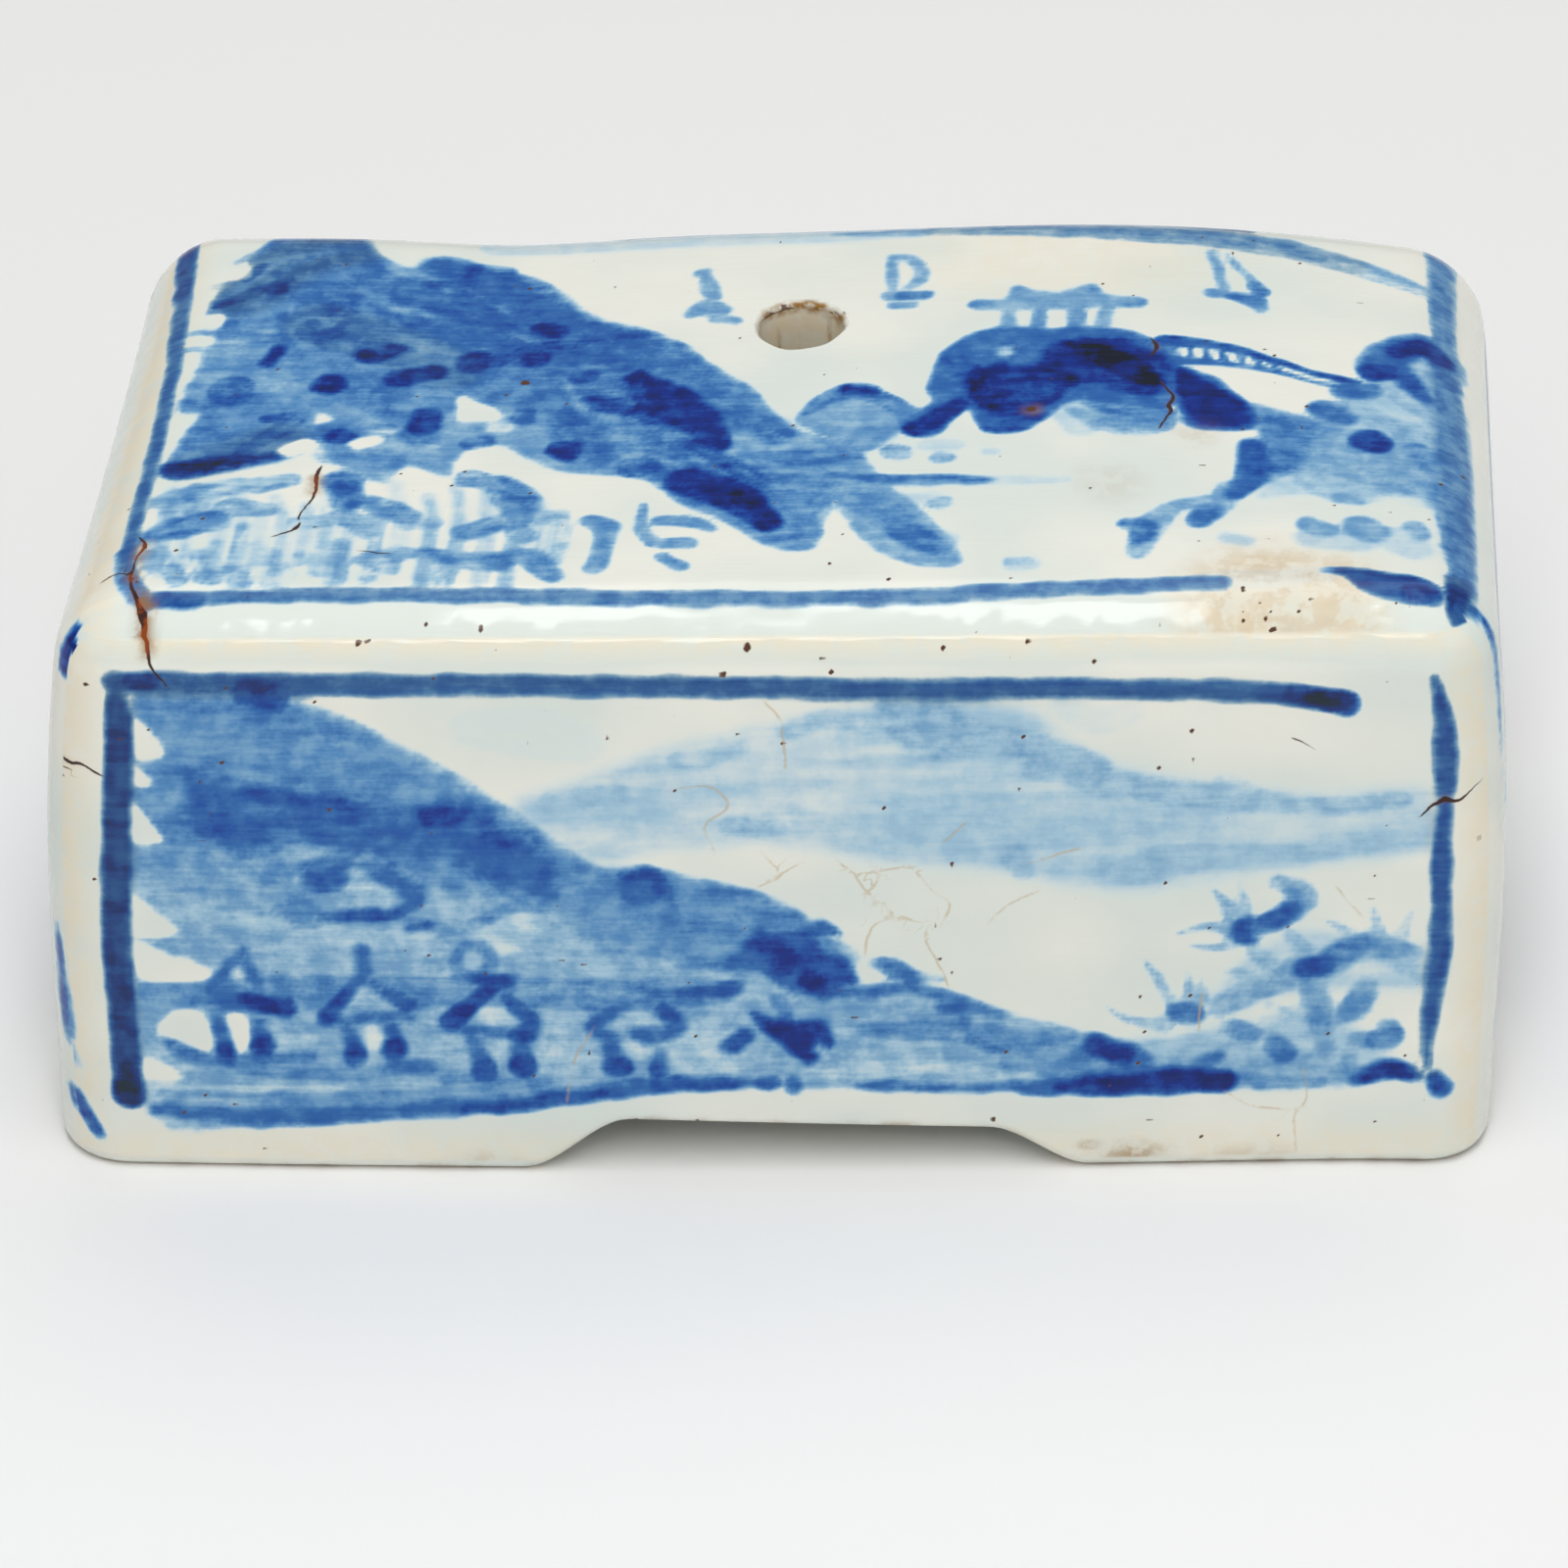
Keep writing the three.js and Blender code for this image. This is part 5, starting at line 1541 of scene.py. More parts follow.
def paint_bush(front):
    front.fill("wash", [
        (24.6, 11.2), (27.6, 11.4), (30.8, 12.4), (34, 12.6), (36.6, 14), (38.8, 13), (41.6, 10),
        (42.4, 7.8), (36, 7.2), (24.8, 8.4),
    ], 0.85, grain=(-6, 0.4), edge=1.0)
    front.stroke("light", [(25, 9.8), (30, 10.2), (34.6, 10), (40, 9)], (1.6, 2.4, 2.4, 1.6), 0.45, 0.4, 0.9)
    front.stroke("wash", [(31, 14.6), (36, 17.6), (43.8, 17)], (2.0, 5.0, 3.4), 0.7, 0.3, 1.0)
    paint_spikes(front, (
        ((31.8, 20.2), (30, 20.7), (27.6, 20.2), 1.2, 0.7),
        ((31.6, 19.5), (30.3, 18.9), (28.4, 19.2), 1.0, 0.6),
        ((31.6, 21.4), (30.7, 22.7), (29.8, 23.8), 1.6, 0.7),
        ((32.1, 21.7), (32, 23), (31.6, 24.3), 1.2, 0.65),
        ((32.6, 19.2), (33, 18.6), (34, 18), 0.8, 0.45),
        ((41, 19.6), (40.9, 20.8), (40.5, 22.2), 1.3, 0.55),
        ((42.2, 19), (42.8, 20.2), (43.2, 21.8), 1.2, 0.55),
        ((39.6, 19.6), (38.6, 20.6), (37.6, 21), 1.0, 0.5),
        ((42.8, 17.6), (43.6, 16.8), (44.2, 15.8), 1.4, 0.5),
        ((34.4, 16.6), (33.4, 17.6), (32.2, 18.7), 1.2, 0.5),
        ((33, 15.6), (32, 16.6), (31, 17), 1.0, 0.45),
        ((27.5, 14.2), (26.3, 16.4), (25.2, 18), 1.1, 0.65),
        ((28.5, 14.2), (28.5, 15.6), (28.2, 17), 1.3, 0.65),
        ((29.3, 14.2), (29.4, 15.2), (29.2, 16.4), 0.9, 0.55),
        ((27, 12.7), (25.1, 12.7), (22.8, 14), 1.3, 0.6),
        ((34, 13.8), (35.2, 13.4), (36.6, 12.4), 0.7, 0.4),
        ((33.8, 12.8), (35.4, 12.4), (36.8, 11.4), 0.7, 0.4),
    ))
    front.strokes("light", (
        ([(31.6, 20.4), (33.2, 20.8), (35.2, 22)], (1.8, 1.6, 2.2), 1.0),
        ([(34.2, 24.4), (35.6, 23.8), (36.2, 22.6)], (1.2, 1.8, 1.6), 0.75),
        ([(35.1, 19.9), (36.3, 18.4)], (0.7, 1.2), 0.6),
        ([(30.6, 13.9), (31.9, 14.9), (34.2, 15.9), (35.6, 17)], (1.6, 2.0, 1.8, 2.0), 0.75),
        (
            [(35.6, 17), (37.4, 17.2), (39.6, 18.8), (41.6, 18.7), (43.2, 18.2)], (1.8, 2.4, 2.4, 2.2, 1.4),
            0.9,
        ),
        ([(36.7, 15.9), (37.4, 13.4), (37.7, 11.4), (37.9, 9.2)], (1.6, 2.0, 1.5, 1.3), 0.9),
        ([(38.8, 13), (40, 14), (40.4, 15.4)], (1.4, 2.4, 1.6), 1.0),
        ([(40.2, 10.9), (42, 11), (42, 12)], (1.4, 2.2, 1.6), 0.95),
        ([(39.5, 9.6), (39.8, 8.2)], (1.4, 1.0), 0.9),
        ([(31.4, 12.2), (32.8, 11.4)], (1.4, 1.6), 0.9),
        ([(34.4, 10.8), (35.2, 9.6)], (1.6, 1.8), 1.0),
        ([(28.2, 13.6), (28.6, 13.4)], (2.0, 2.2), 1.0),
        ([(36.8, 9.3), (38.2, 9.2)], 0.9, 0.8),
        ([(35.8, 8.6), (37.4, 8.6)], 0.5, 0.6),
    ), 0.15)
    front.strokes("mid", (
        ([(32.3, 21.2), (31.9, 20), (32.6, 19.6)], (0.9, 1.3, 0.7), 0.95),
        ([(32.6, 20.6), (34.2, 21.2), (35, 22)], (1.2, 1.7, 1.6), 0.9),
        ([(35.2, 23.4), (35.8, 22.6)], 0.9, 0.35),
        ([(36.3, 16.9), (37.8, 17.6)], (1.7, 1.8), 1.0),
        ([(38.8, 18.4), (39.8, 19)], 1.7, 0.55),
        ([(41.2, 18.8), (42.4, 18.6)], 1.2, 0.3),
        ([(27.8, 13.6), (28.8, 13.4)], 1.5, 0.65),
        ([(37.3, 13), (37.6, 12)], 1.3, 0.4),
        ([(39.4, 13.5), (40.2, 14.4)], 1.4, 0.35),
        ([(41.4, 11), (42.4, 11.2)], 1.5, 0.55),
        ([(31.8, 11.9), (32.6, 11.5)], 1.2, 0.45),
        ([(34.6, 10.4), (35.1, 9.8)], 1.5, 0.65),
        ([(39.6, 9), (39.8, 8.4)], 0.9, 0.35),
    ), 0.1)
    front.strokes("deep", (
        ([(31.9, 20.8), (32, 19.8)], 0.8, 0.45),
        ([(33.6, 21.2), (34.6, 21.6)], 1.0, 0.4),
        ([(36.4, 17), (37.6, 17.4)], 1.1, 0.45),
    ))


def paint_front(front):
    paint_haze(front)
    paint_front_water(front)
    paint_front_mountain(front)
    paint_huts(front)
    paint_bush(front)
    paint_front_frame(front)


# The back and the ends: the same frame and a plainer landscape

def plain_line(panel, points, width):
    """One line of the frame on a side that the photograph doesn't show."""
    panel.stroke("light", points, np.array(width) + 0.2)
    panel.stroke("mid", points, width, 1.0, 0.1)
    panel.stroke("deep", points, 0.75 * np.array(width), 0.4, 0.5)
    panel.stroke("dull", points, np.array(width) + 0.3, 0.8)


def paint_plain_side(panel, half_width, seed):
    """A frame, a hill, some water and a few trees, for a side that the photograph doesn't show."""
    chance = np.random.RandomState(seed)
    side = half_width - 5.4
    high, low = 40.6, 6.4
    plain_line(panel, [(-side, high), (0, high + 0.3), (side, high - 0.6)], (1.5, 1.2, 1.6))
    plain_line(panel, [(-side, high), (-side + 0.4, 23), (-side, low)], (0.6, 1.6, 1.7))
    plain_line(panel, [(side + 0.3, high - 1), (side, 23), (side, low)], (0.3, 1.5, 0.6))
    far = [
        (-side * 0.1, 31), (side * 0.3, 35), (side * 0.6, 33.6), (side - 1, 31), (side - 1, 27.6),
        (side * 0.2, 27),
    ]
    panel.fill("wash", far, 0.85, grain=(-4, 0.4), edge=1.4)
    panel.stroke(
        "light", [(side * 0.06, 31.6), (side * 0.32, 34.2), (side * 0.6, 32.4)], (1.6, 2.6, 1.4), 0.35, 0.4,
    )
    hill = [
        (-side + 1, 31), (-side * 0.8, 34), (-side * 0.56, 32.4), (-side * 0.3, 27), (0, 22),
        (side * 0.3, 17), (side * 0.7, 12), (side - 1, 9.4), (side - 1, 6.8), (-side + 1, 6.4),
        (-side + 1.8, 16), (-side + 0.8, 18), (-side + 2.4, 25), (-side + 0.8, 26),
    ]
    panel.fill("light", hill, 0.95, grain=(-20, 0.15), edge=0.8)
    panel.fill(
        "mid", hill[:7] + [(side * 0.5, 11), (-side * 0.2, 16), (-side * 0.7, 22)], 0.75, grain=(-24, 0.4),
        edge=1.1,
    )
    ridge = [(-side * 0.8, 31.4), (-side * 0.4, 26), (0, 19.6), (side * 0.36, 14.4)]
    panel.stroke("mid", ridge, (2.0, 3.4, 3.0, 1.6), 0.9, 0.3, 1.1)
    panel.stroke("deep", ridge, (1.0, 2.2, 1.8, 0.8), 0.4, 0.5, 1.1)
    for share in (0.0, 0.35, 0.7):
        height = 15 - 6.5 * share
        water = [
            (-side * 0.86, height), (-side * 0.2, height - 0.4), (side * (0.3 + 0.4 * share), height - 1),
        ]
        panel.stroke("mid", water, (0.8, 1.6, 0.6), 0.4 + 0.3 * chance.rand(), 0.4)
    for share in (-0.72, -0.5, -0.22, 0.1, 0.42):
        u = side * share + chance.rand()
        foot = 9 + chance.rand()
        crown = foot + 3.6 + 1.6 * chance.rand()
        panel.stroke("mid", [(u, foot), (u + 0.3, crown)], (0.9, 0.6), 0.95, 0.2)
        panel.dab("mid", u + 0.3, crown + 0.6, 2.6 + chance.rand(), 1.8, 40 * (chance.rand() - 0.5), 0.95)
        panel.dab("deep", u - 0.2, crown + 0.4, 1.6, 1.1, 0, 0.5)
    shore = [(-side * 0.94, 6.9), (-side * 0.3, 6.3), (side * 0.4, 7.1), (side * 0.92, 6.8)]
    panel.stroke("mid", shore, (1.4, 1.2, 1.0, 1.6), 0.95, 0.2)
    panel.stroke("deep", shore, (0.6, 1.0, 0.4, 1.1), 0.5, 0.4)


def paint_left_end(left):
    """u runs from the back to the front, so the front edge is on the right."""
    paint_plain_side(left, HALF_DEPTH, 21)
    left.stroke("mid", [(25.6, 44.4), (26, 42), (26.4, 41)], (1.2, 2.0, 1.2), 1.0)
    left.stroke("ink", [(25.8, 43.4), (26.2, 41.8)], (1.2, 1.4), 0.6)
    left.stroke("mid", [(25.4, 20), (25.7, 14), (26.1, 9.8)], (0.6, 1.4, 0.9), 0.95, 0.2)
    left.stroke("deep", [(25.6, 18), (25.9, 12)], 0.8, 0.6, 0.3)
    left.stroke("mid", [(26, 6), (26.4, 4.6)], (0.6, 0.9), 0.9)


def paint_right_end(right):
    paint_plain_side(right, HALF_DEPTH, 33)
    right.stroke("mid", [(-24.7, 45), (-24.8, 41.6), (-24.2, 28)], (0.9, 0.8, 0.5), 0.95, 0.2)
    right.stroke("deep", [(-24.5, 44.4), (-24.6, 42)], 0.6, 0.5)


# Firing cracks, specks, stains and bare clay

def mark_top(top):
    for points, width in (
        (
            [
                (-45.2, -17.2), (-44.6, -18.4), (-45, -20.4), (-44.9, -23.4), (-44.2, -25),
                (-43.7, -25.9), (-43.3, -26.6), (-43.1, -27.8),
            ],
            (0.1, 0.24, 0.1, 0.22, 0.3, 0.62, 0.4, 0.34),
        ),
        (
            [(-33.6, -7.8), (-33.7, -9.4), (-33.6, -11), (-33.8, -12.6), (-34.4, -15)],
            (0.1, 0.3, 0.2, 0.1, 0.1),
        ),
        ([(-34.3, -15.4), (-34.5, -16.2), (-35.8, -17)], (0.14, 0.22, 0.08)),
        (
            [(26.6, 2.4), (27.3, 0.6), (27.0, -0.6), (27.3, -1.4), (26.8, -2.2), (26.4, -3.6)],
            (0.12, 0.26, 0.3, 0.16, 0.12),
        ),
        ([(25.7, 8.4), (26, 7.3), (25.7, 6.2)], (0.1, 0.36, 0.12)),
        ([(-47, -22), (-46.2, -21.6), (-45.4, -22)], 0.1),
        ([(-48.4, -15.6), (-48.9, -17)], 0.1),
        ([(-29.6, -18.9), (-28.7, -19), (-28, -19.3), (-27.2, -19.3)], (0.05, 0.12, 0.14, 0.05)),
    ):
        top.crack(points, width)
    top.strokes("stain", (
        ([(-44.2, -24.4), (-43.6, -25.4), (-43.5, -26.4), (-43, -27.6)], (0.9, 1.3, 1.1, 0.8), 0.9),
        ([(-44.6, -18.2), (-44.9, -20.6), (-44.9, -22.8)], 0.6, 0.5),
        ([(-33.8, -9.4), (-33.6, -11.2)], 0.6, 0.45),
        ([(17.0, -1.2), (17.4, -1.3)], 0.7, 0.45),
    ), edge=0.6)
    specks(top, (
        (-23.3, -8.3), (4.0, -6.9), (3.7, -21.3), (16.4, -23.2), (25.6, 18.4), (17.5, 19.1),
        (31.5, 20.9), (29.6, 8.2), (24.2, 14.2), (41, 15.1), (48, -7.2), (46.3, -9.8), (34.1, -18.3),
        (17.2, -1.2), (-14.3, 17.3), (8.9, 19.2), (7.8, -23.3), (-33, -15.8), (48.7, -4.2),
        (-21.2, 2.4), (11.4, -4.2),
    ), 0.46)
    specks(top, ((17.2, -1.2), (-20, 4.1)), 0.85)
    strewn_specks(top, 190, 71)
    chance = np.random.RandomState(77)
    specks(top, [(35 + 6 * (chance.rand() - 0.5), -25.6 + 4 * (chance.rand() - 0.5)) for _ in range(20)], 0.3)
    mark_mouth(top)
    mark_top_tints(top)


def mark_mouth(top):
    """The brown, chipped far rim of the filling mouth."""
    mouth = np.hypot(top.u - MOUTH_X, top.v - MOUTH_Y)
    far_side = smoothstep(top.v - MOUTH_Y, -1.4, 1.6)
    ragged = value_noise(top.u * 1.6 + 30, top.v * 1.6 + 30, 8)
    reach = 0.12 + 0.3 * ragged * far_side
    rim = np.clip(1 - (mouth - MOUTH_RADIUS - 0.1) / reach, 0, 1)
    add_soft(top, "stain", rim * (0.25 + 0.75 * far_side))
    dark = smoothstep(ragged, 0.35, 0.6) * far_side * np.clip(1 - (mouth - MOUTH_RADIUS - 0.1) / 0.3, 0, 1)
    add_soft(top, "speck", 0.6 * dark)


def round_patch(panel, u, v, reach, fade, stretch=1.0):
    """How far each point lies in a soft round patch, that stretch makes longer along u."""
    return smoothstep(reach - np.hypot((panel.u - u) / stretch, panel.v - v), 0, fade)


def mark_top_tints(top):
    """Warm and duller patches of the glaze."""
    cloud = value_noise(top.u / 2.2 + MARKS_AT, top.v / 1.4 + MARKS_AT, 9)
    fine = value_noise(top.u / 0.8 + MARKS_AT, top.v / 0.5 + MARKS_AT, 10)
    patch = round_patch(top, 35, -26, 9.5, 5)
    add_soft(top, "warm", patch * (0.55 + 0.45 * cloud))
    add_soft(top, "warm", 0.35 * round_patch(top, 20, 20, 11, 8, stretch=1.6))
    add_soft(top, "warm", 0.8 * smoothstep(-44 - top.u, 0, 4))
    add_soft(top, "stain", 0.16 * round_patch(top, 23, -11, 4, 4))
    add_soft(top, "stain", 0.2 * round_patch(top, 29, -4.4, 3, 3))
    shoulder = smoothstep(-24.2 - top.v, 0, 0.8)
    rough = smoothstep(0.5 * cloud + 0.5 * fine, 0.36, 0.5)
    left = smoothstep(-21 - top.u, 0, 4) * np.where(top.v > -26.2, 1, rough)
    right = smoothstep(top.u - 29.6, 0, 1.6) * np.where(top.u > 41, rough, 1)
    streaky = value_noise(top.u / 5 + MARKS_AT, top.v / 0.6 + 60, 15)
    brim = 0.7 * smoothstep(0.6 * streaky + 0.4 * cloud, 0.4, 0.62) * smoothstep(20 - top.u, 0, 18)
    edge = smoothstep(-26 - top.v + 0.8 * (fine - 0.5) + 0.8 * (cloud - 0.5), 0, 0.7)
    add_soft(top, "matte", shoulder * np.maximum.reduce([left, right, brim, edge]))
    unpainted = 1 - top.layers["mid"][top.ids]
    add_soft(top, "stain", 0.3 * patch * (0.5 + 0.5 * fine) * unpainted)


def mark_front(front):
    for points, width in (
        ([(-43.1, 45.6), (-42.9, 44.2), (-42.4, 42.4), (-41.4, 41)], (0.4, 0.3, 0.14, 0.08)),
        ([(-48.7, 34.3), (-47.9, 33.9), (-46.9, 34.1), (-45.6, 33.6)], (0.18, 0.26, 0.16, 0.1)),
        ([(-49, 33), (-48.4, 32.7)], 0.16),
        (
            [(43.7, 29.8), (44.6, 30.6), (45.3, 31.2), (46.2, 31), (47, 31.3), (48, 31.9)],
            (0.07, 0.16, 0.36, 0.2, 0.1, 0.05),
        ),
        ([(35.4, 36.1), (36.7, 35.4)], (0.1, 0.05)),
    ):
        front.crack(points, width)
    front.stroke("stain", [(-43.2, 46), (-42.8, 43.6)], (1.4, 0.7), 0.9, edge=0.6)
    specks(front, (
        (-1.8, 43.6), (-3.4, 41.8), (3.5, 42.8), (11.7, 43.4), (-35.3, 1.9), (11, 21.2), (11.1, 18.3),
        (-37.4, 34.7), (-2.3, 36.9), (26.1, 34), (28.4, 36.9), (17.5, 43.8), (5.4, 13.4), (-11.2, 36.8),
        (35.6, 45), (-28.6, 44), (15, 4.5), (42, 40.7), (47.7, 27.2), (-38.6, 28.2), (-13, 18),
        (0.7, 36.2), (28.6, 34.6), (12, 26.2), (-30, 30.8),
    ))
    specks(front, ((-3.4, 41.8), (-1.8, 43.6)), 0.66)
    strewn_specks(front, 170, 72)
    hairlines(front, (
        [(4.4, 26.4), (5.4, 25.4), (6.4, 24.0), (6.9, 23.0)],
        [(5.4, 25.4), (7.2, 25.8), (9.2, 26.0)],
        [(7.1, 25.6), (6.9, 24.6), (6.4, 24.0)],
        [(9.4, 25.8), (10.6, 24.0), (11.9, 22.9), (11.2, 21.2)],
        [(11.2, 21.2), (9.2, 21.6), (8.0, 21.8), (6.6, 21.0), (6.0, 18.8)],
        [(8.0, 21.8), (7.4, 23.2), (6.9, 23.0)],
        [(10.4, 21.4), (10.4, 19.6), (10.9, 18.4), (11.8, 16.2)],
        [(-0.9, 24.6), (0.2, 25.6), (-0.8, 27.4)],
        [(0.2, 25.6), (1.6, 26.2)],
        [(12.9, 29.6), (11.6, 28.2)],
        [(14.9, 21.6), (16.2, 23.0), (17.8, 23.8)],
        [(-0.4, 39.4), (0.6, 38.0), (0.8, 34.4)],
        [(-7, 32.4), (-4.4, 32.8), (-3, 31.2), (-4.6, 29.6), (-4.2, 27.8)],
        [(39.8, 21.6), (38.2, 23.8)],
        [(36.6, 8.2), (36.9, 5.6), (36.0, 4.4), (36.2, 1.4)],
        [(36.0, 4.9), (33.6, 5.2), (31.4, 6.4)],
        [(29.4, 14.8), (29.2, 12.0)],
        [(-12.6, 12.4), (-13.8, 9.8), (-14.4, 6.4)],
        [(20.6, 27.4), (17.6, 26.4)],
    ))
    add_soft(front, "warm", smoothstep(front.v, 42, 45))
    add_soft(front, "warm", 0.7 * smoothstep(-45 - front.u, 0, 3))
    add_soft(front, "warm", 0.7 * smoothstep(front.u, 45, 48))
    add_soft(front, "warm", 0.5 * smoothstep(5 - front.v, 0, 3))
    for x, z, reach, amount in (
        (25, 1.2, 4, 0.7), (22, 2.2, 1.4, 0.9), (33, 0.4, 5, 0.4), (-20, 0.6, 4, 0.3),
    ):
        spot = np.hypot(front.u - x, (front.v - z) * 2.2)
        add_soft(front, "stain", amount * smoothstep(reach - spot, 0, reach))


def add_soft(panel, layer, value, picked=slice(None)):
    values = panel.layers[layer]
    ids = panel.ids[picked]
    values[ids] = np.maximum(values[ids], value)


def mark_feet(rest, layers):
    """Bare clay with a brown edge under the feet."""
    x, y, z = rest.T
    inset = np.minimum(HALF_LENGTH - np.abs(x), HALF_DEPTH - np.abs(y))
    lowest = cut_rise(x, FRONT_CUT) * (HALF_DEPTH - np.abs(y) < CUT_BAND)
    lowest = np.maximum(lowest, cut_rise(y, END_CUT) * (HALF_LENGTH - np.abs(x) < CUT_BAND))
    under = (z < lowest + 0.35) & (inset < FOOT_WIDTH) & (lowest < 0.6)
    layers["biscuit"][under] = 1
    rim = smoothstep(1.1 - (z - lowest), 0, 1.1) * (inset < FOOT_WIDTH + 0.5)
    grain = value_noise(x / 1.3 + 60, y / 1.3 + 60, 3)
    layers["stain"] = np.maximum(layers["stain"], 0.75 * rim * smoothstep(grain, 0.35, 0.8))


def mark_chamber(rest, layers):
    """A thin glaze inside, through which the clay shows."""
    x, y, z = rest.T
    inside = (
        (np.abs(x) < HALF_LENGTH - WALL + MARK_MARGIN)
        & (np.abs(y) < HALF_DEPTH - WALL + MARK_MARGIN)
        & (z > BASE_RECESS + BASE_SLAB - MARK_MARGIN)
        & (z < HEIGHT - ROOF + MARK_MARGIN)
    )
    layers["biscuit"][inside] = THIN_GLAZE


def mark_bore(rest, layers):
    """The wall of the filling mouth, warm with brown runs, and scorched at its far rim."""
    x, y, z = rest.T
    bore = (np.hypot(x - MOUTH_X, y - MOUTH_Y) < MOUTH_RADIUS + 0.3) & (z < HEIGHT - 0.3)
    turn = np.arctan2(y - MOUTH_Y, x - MOUTH_X)
    runs = value_noise(turn * 7 + 30, z * 0.1, 4)
    layers["warm"][bore] = 1
    ragged = value_noise(turn * 5 + 60, z * 0.4, 6)
    scorched = smoothstep(z, HEIGHT - 1.5 + 0.8 * ragged, HEIGHT - 0.7)
    scorched = scorched * smoothstep(y - MOUTH_Y, -1, 1.5)
    layers["stain"][bore] = np.maximum(0.05 + 0.8 * smoothstep(runs, 0.75, 0.92), scorched)[bore]
    layers["speck"][bore] = (0.6 * scorched * smoothstep(ragged, 0.4, 0.6))[bore]


def mark_pouring_hole(rest, layers):
    """A brown ring around the pouring hole."""
    x, y, z = rest.T
    off = y - (HALF_DEPTH - SHOULDER_RADIUS) - (z - HEIGHT + SHOULDER_RADIUS)
    reach = np.hypot(x - (HALF_LENGTH - POUR_FROM_END), off / math.sqrt(2))
    near_pour = (y > HALF_DEPTH - 2 * SHOULDER_RADIUS) & (z > HEIGHT - 2 * SHOULDER_RADIUS)
    ring = np.clip(1 - np.abs(reach - POUR_RADIUS) / RING_WIDTH, 0, 1) * near_pour
    layers["stain"] = np.maximum(layers["stain"], 0.75 * ring)


def painted_layers(rest):
    """All paint layers for the given points of the true box."""
    x, y, z = rest.T
    layers = {name: np.zeros(len(rest)) for names in ATTRIBUTES.values() for name in names}
    layers["side"] = np.full(len(rest), NO_CRACK)
    layers["matte"] = np.zeros(len(rest))
    near_wall = (np.abs(x) > HALF_LENGTH - SKIN) | (np.abs(y) > HALF_DEPTH - SKIN)
    wall_top = HEIGHT - ROOF_SHEET
    on_top = (near_wall | (z > HEIGHT - SKIN)) & (z >= wall_top)
    on_wall = (z < wall_top) & (z > SHEET_BOTTOM)
    on_front = (y < LONG_SHEET - HALF_DEPTH) & on_wall
    on_back = (y > HALF_DEPTH - LONG_SHEET) & on_wall
    is_end = ~on_front & ~on_back & (z > SHEET_BOTTOM)
    on_left = (x < END_SHEET - HALF_LENGTH) & is_end
    on_right = (x > HALF_LENGTH - END_SHEET) & is_end
    top = Panel(layers, on_top, x, y, 100)
    front = Panel(layers, on_front, x, z, 200)
    back = Panel(layers, on_back, -x, z, 300)
    left = Panel(layers, on_left, -y, z, 400)
    right = Panel(layers, on_right, y, z, 500)
    paint_top(top)
    paint_front(front)
    paint_plain_side(back, HALF_LENGTH, 12)
    paint_left_end(left)
    paint_right_end(right)
    mark_top(top)
    mark_front(front)
    for mark in (mark_feet, mark_chamber, mark_bore, mark_pouring_hole):
        mark(rest, layers)
    return layers


# Materials

# The sockets of a mix node that mixes colours
MIX_COLOUR_INPUTS = (0, 6, 7)
MIX_COLOUR_OUTPUT = 2


class Shader:
    """Short calls for building one material's nodes."""

    def __init__(self, name):
        self.material = bpy.data.materials.new(name)
        self.material.use_nodes = True
        self.tree = self.material.node_tree
        self.surface = self.tree.nodes["Principled BSDF"]

    def node(self, kind, **settings):
        made = self.tree.nodes.new(kind)
        for name, value in settings.items():
            setattr(made, name, value)
        return made

    def put(self, socket, value):
        if isinstance(value, bpy.types.NodeSocket):
            self.tree.links.new(value, socket)
        else:
            socket.default_value = value

    def math(self, operation, first, second=0.0, third=0.0):
        made = self.node("ShaderNodeMath", operation=operation)
        for socket, value in zip(made.inputs, (first, second, third)):
            self.put(socket, value)
        return made.outputs[0]

    def remap(self, value, low, high, new_low=0.0, new_high=1.0):
        made = self.node("ShaderNodeMapRange", interpolation_type="SMOOTHSTEP")
        for socket, setting in zip(made.inputs, (value, low, high, new_low, new_high)):
            self.put(socket, setting)
        return made.outputs[0]

    def mix(self, share, first, second):
        made = self.node("ShaderNodeMix", data_type="RGBA")
        for number, value in zip(MIX_COLOUR_INPUTS, (share, first, second)):
            self.put(made.inputs[number], value)
        return made.outputs[MIX_COLOUR_OUTPUT]

    def attribute(self, name):
        return self.node("ShaderNodeAttribute", attribute_name=name)

    def channels(self, name):
        """The four layers that one colour attribute carries."""
        found = self.attribute(name)
        split = self.node("ShaderNodeSeparateColor")
        self.put(split.inputs[0], found.outputs["Color"])
        return (*split.outputs, found.outputs["Alpha"])

    def filled(self, kind, **values):
        """A node whose inputs get the values of their names."""
        made = self.node(kind)
        for name, value in values.items():
            self.put(made.inputs[name], value)
        return made.outputs[0]

    def noise(self, vector, scale, detail, roughness=0.5):
        return self.filled(
            "ShaderNodeTexNoise", Vector=vector, Scale=scale, Detail=detail, Roughness=roughness,
        )

    def stretched(self, vector, scale):
        return self.filled("ShaderNodeMapping", Vector=vector, Scale=scale)

    def bump(self, height, strength, distance):
        return self.filled("ShaderNodeBump", Height=height, Strength=strength, Distance=distance)

    def ramp(self, value, stops):
        made = self.node("ShaderNodeValToRGB")
        elements = made.color_ramp.elements
        while len(elements) < len(stops):
            elements.new(0.5)
        for element, (place, colour) in zip(elements, stops):
            element.position = place
            element.color = srgb(*colour)
        self.put(made.inputs[0], value)
        return made.outputs[0]


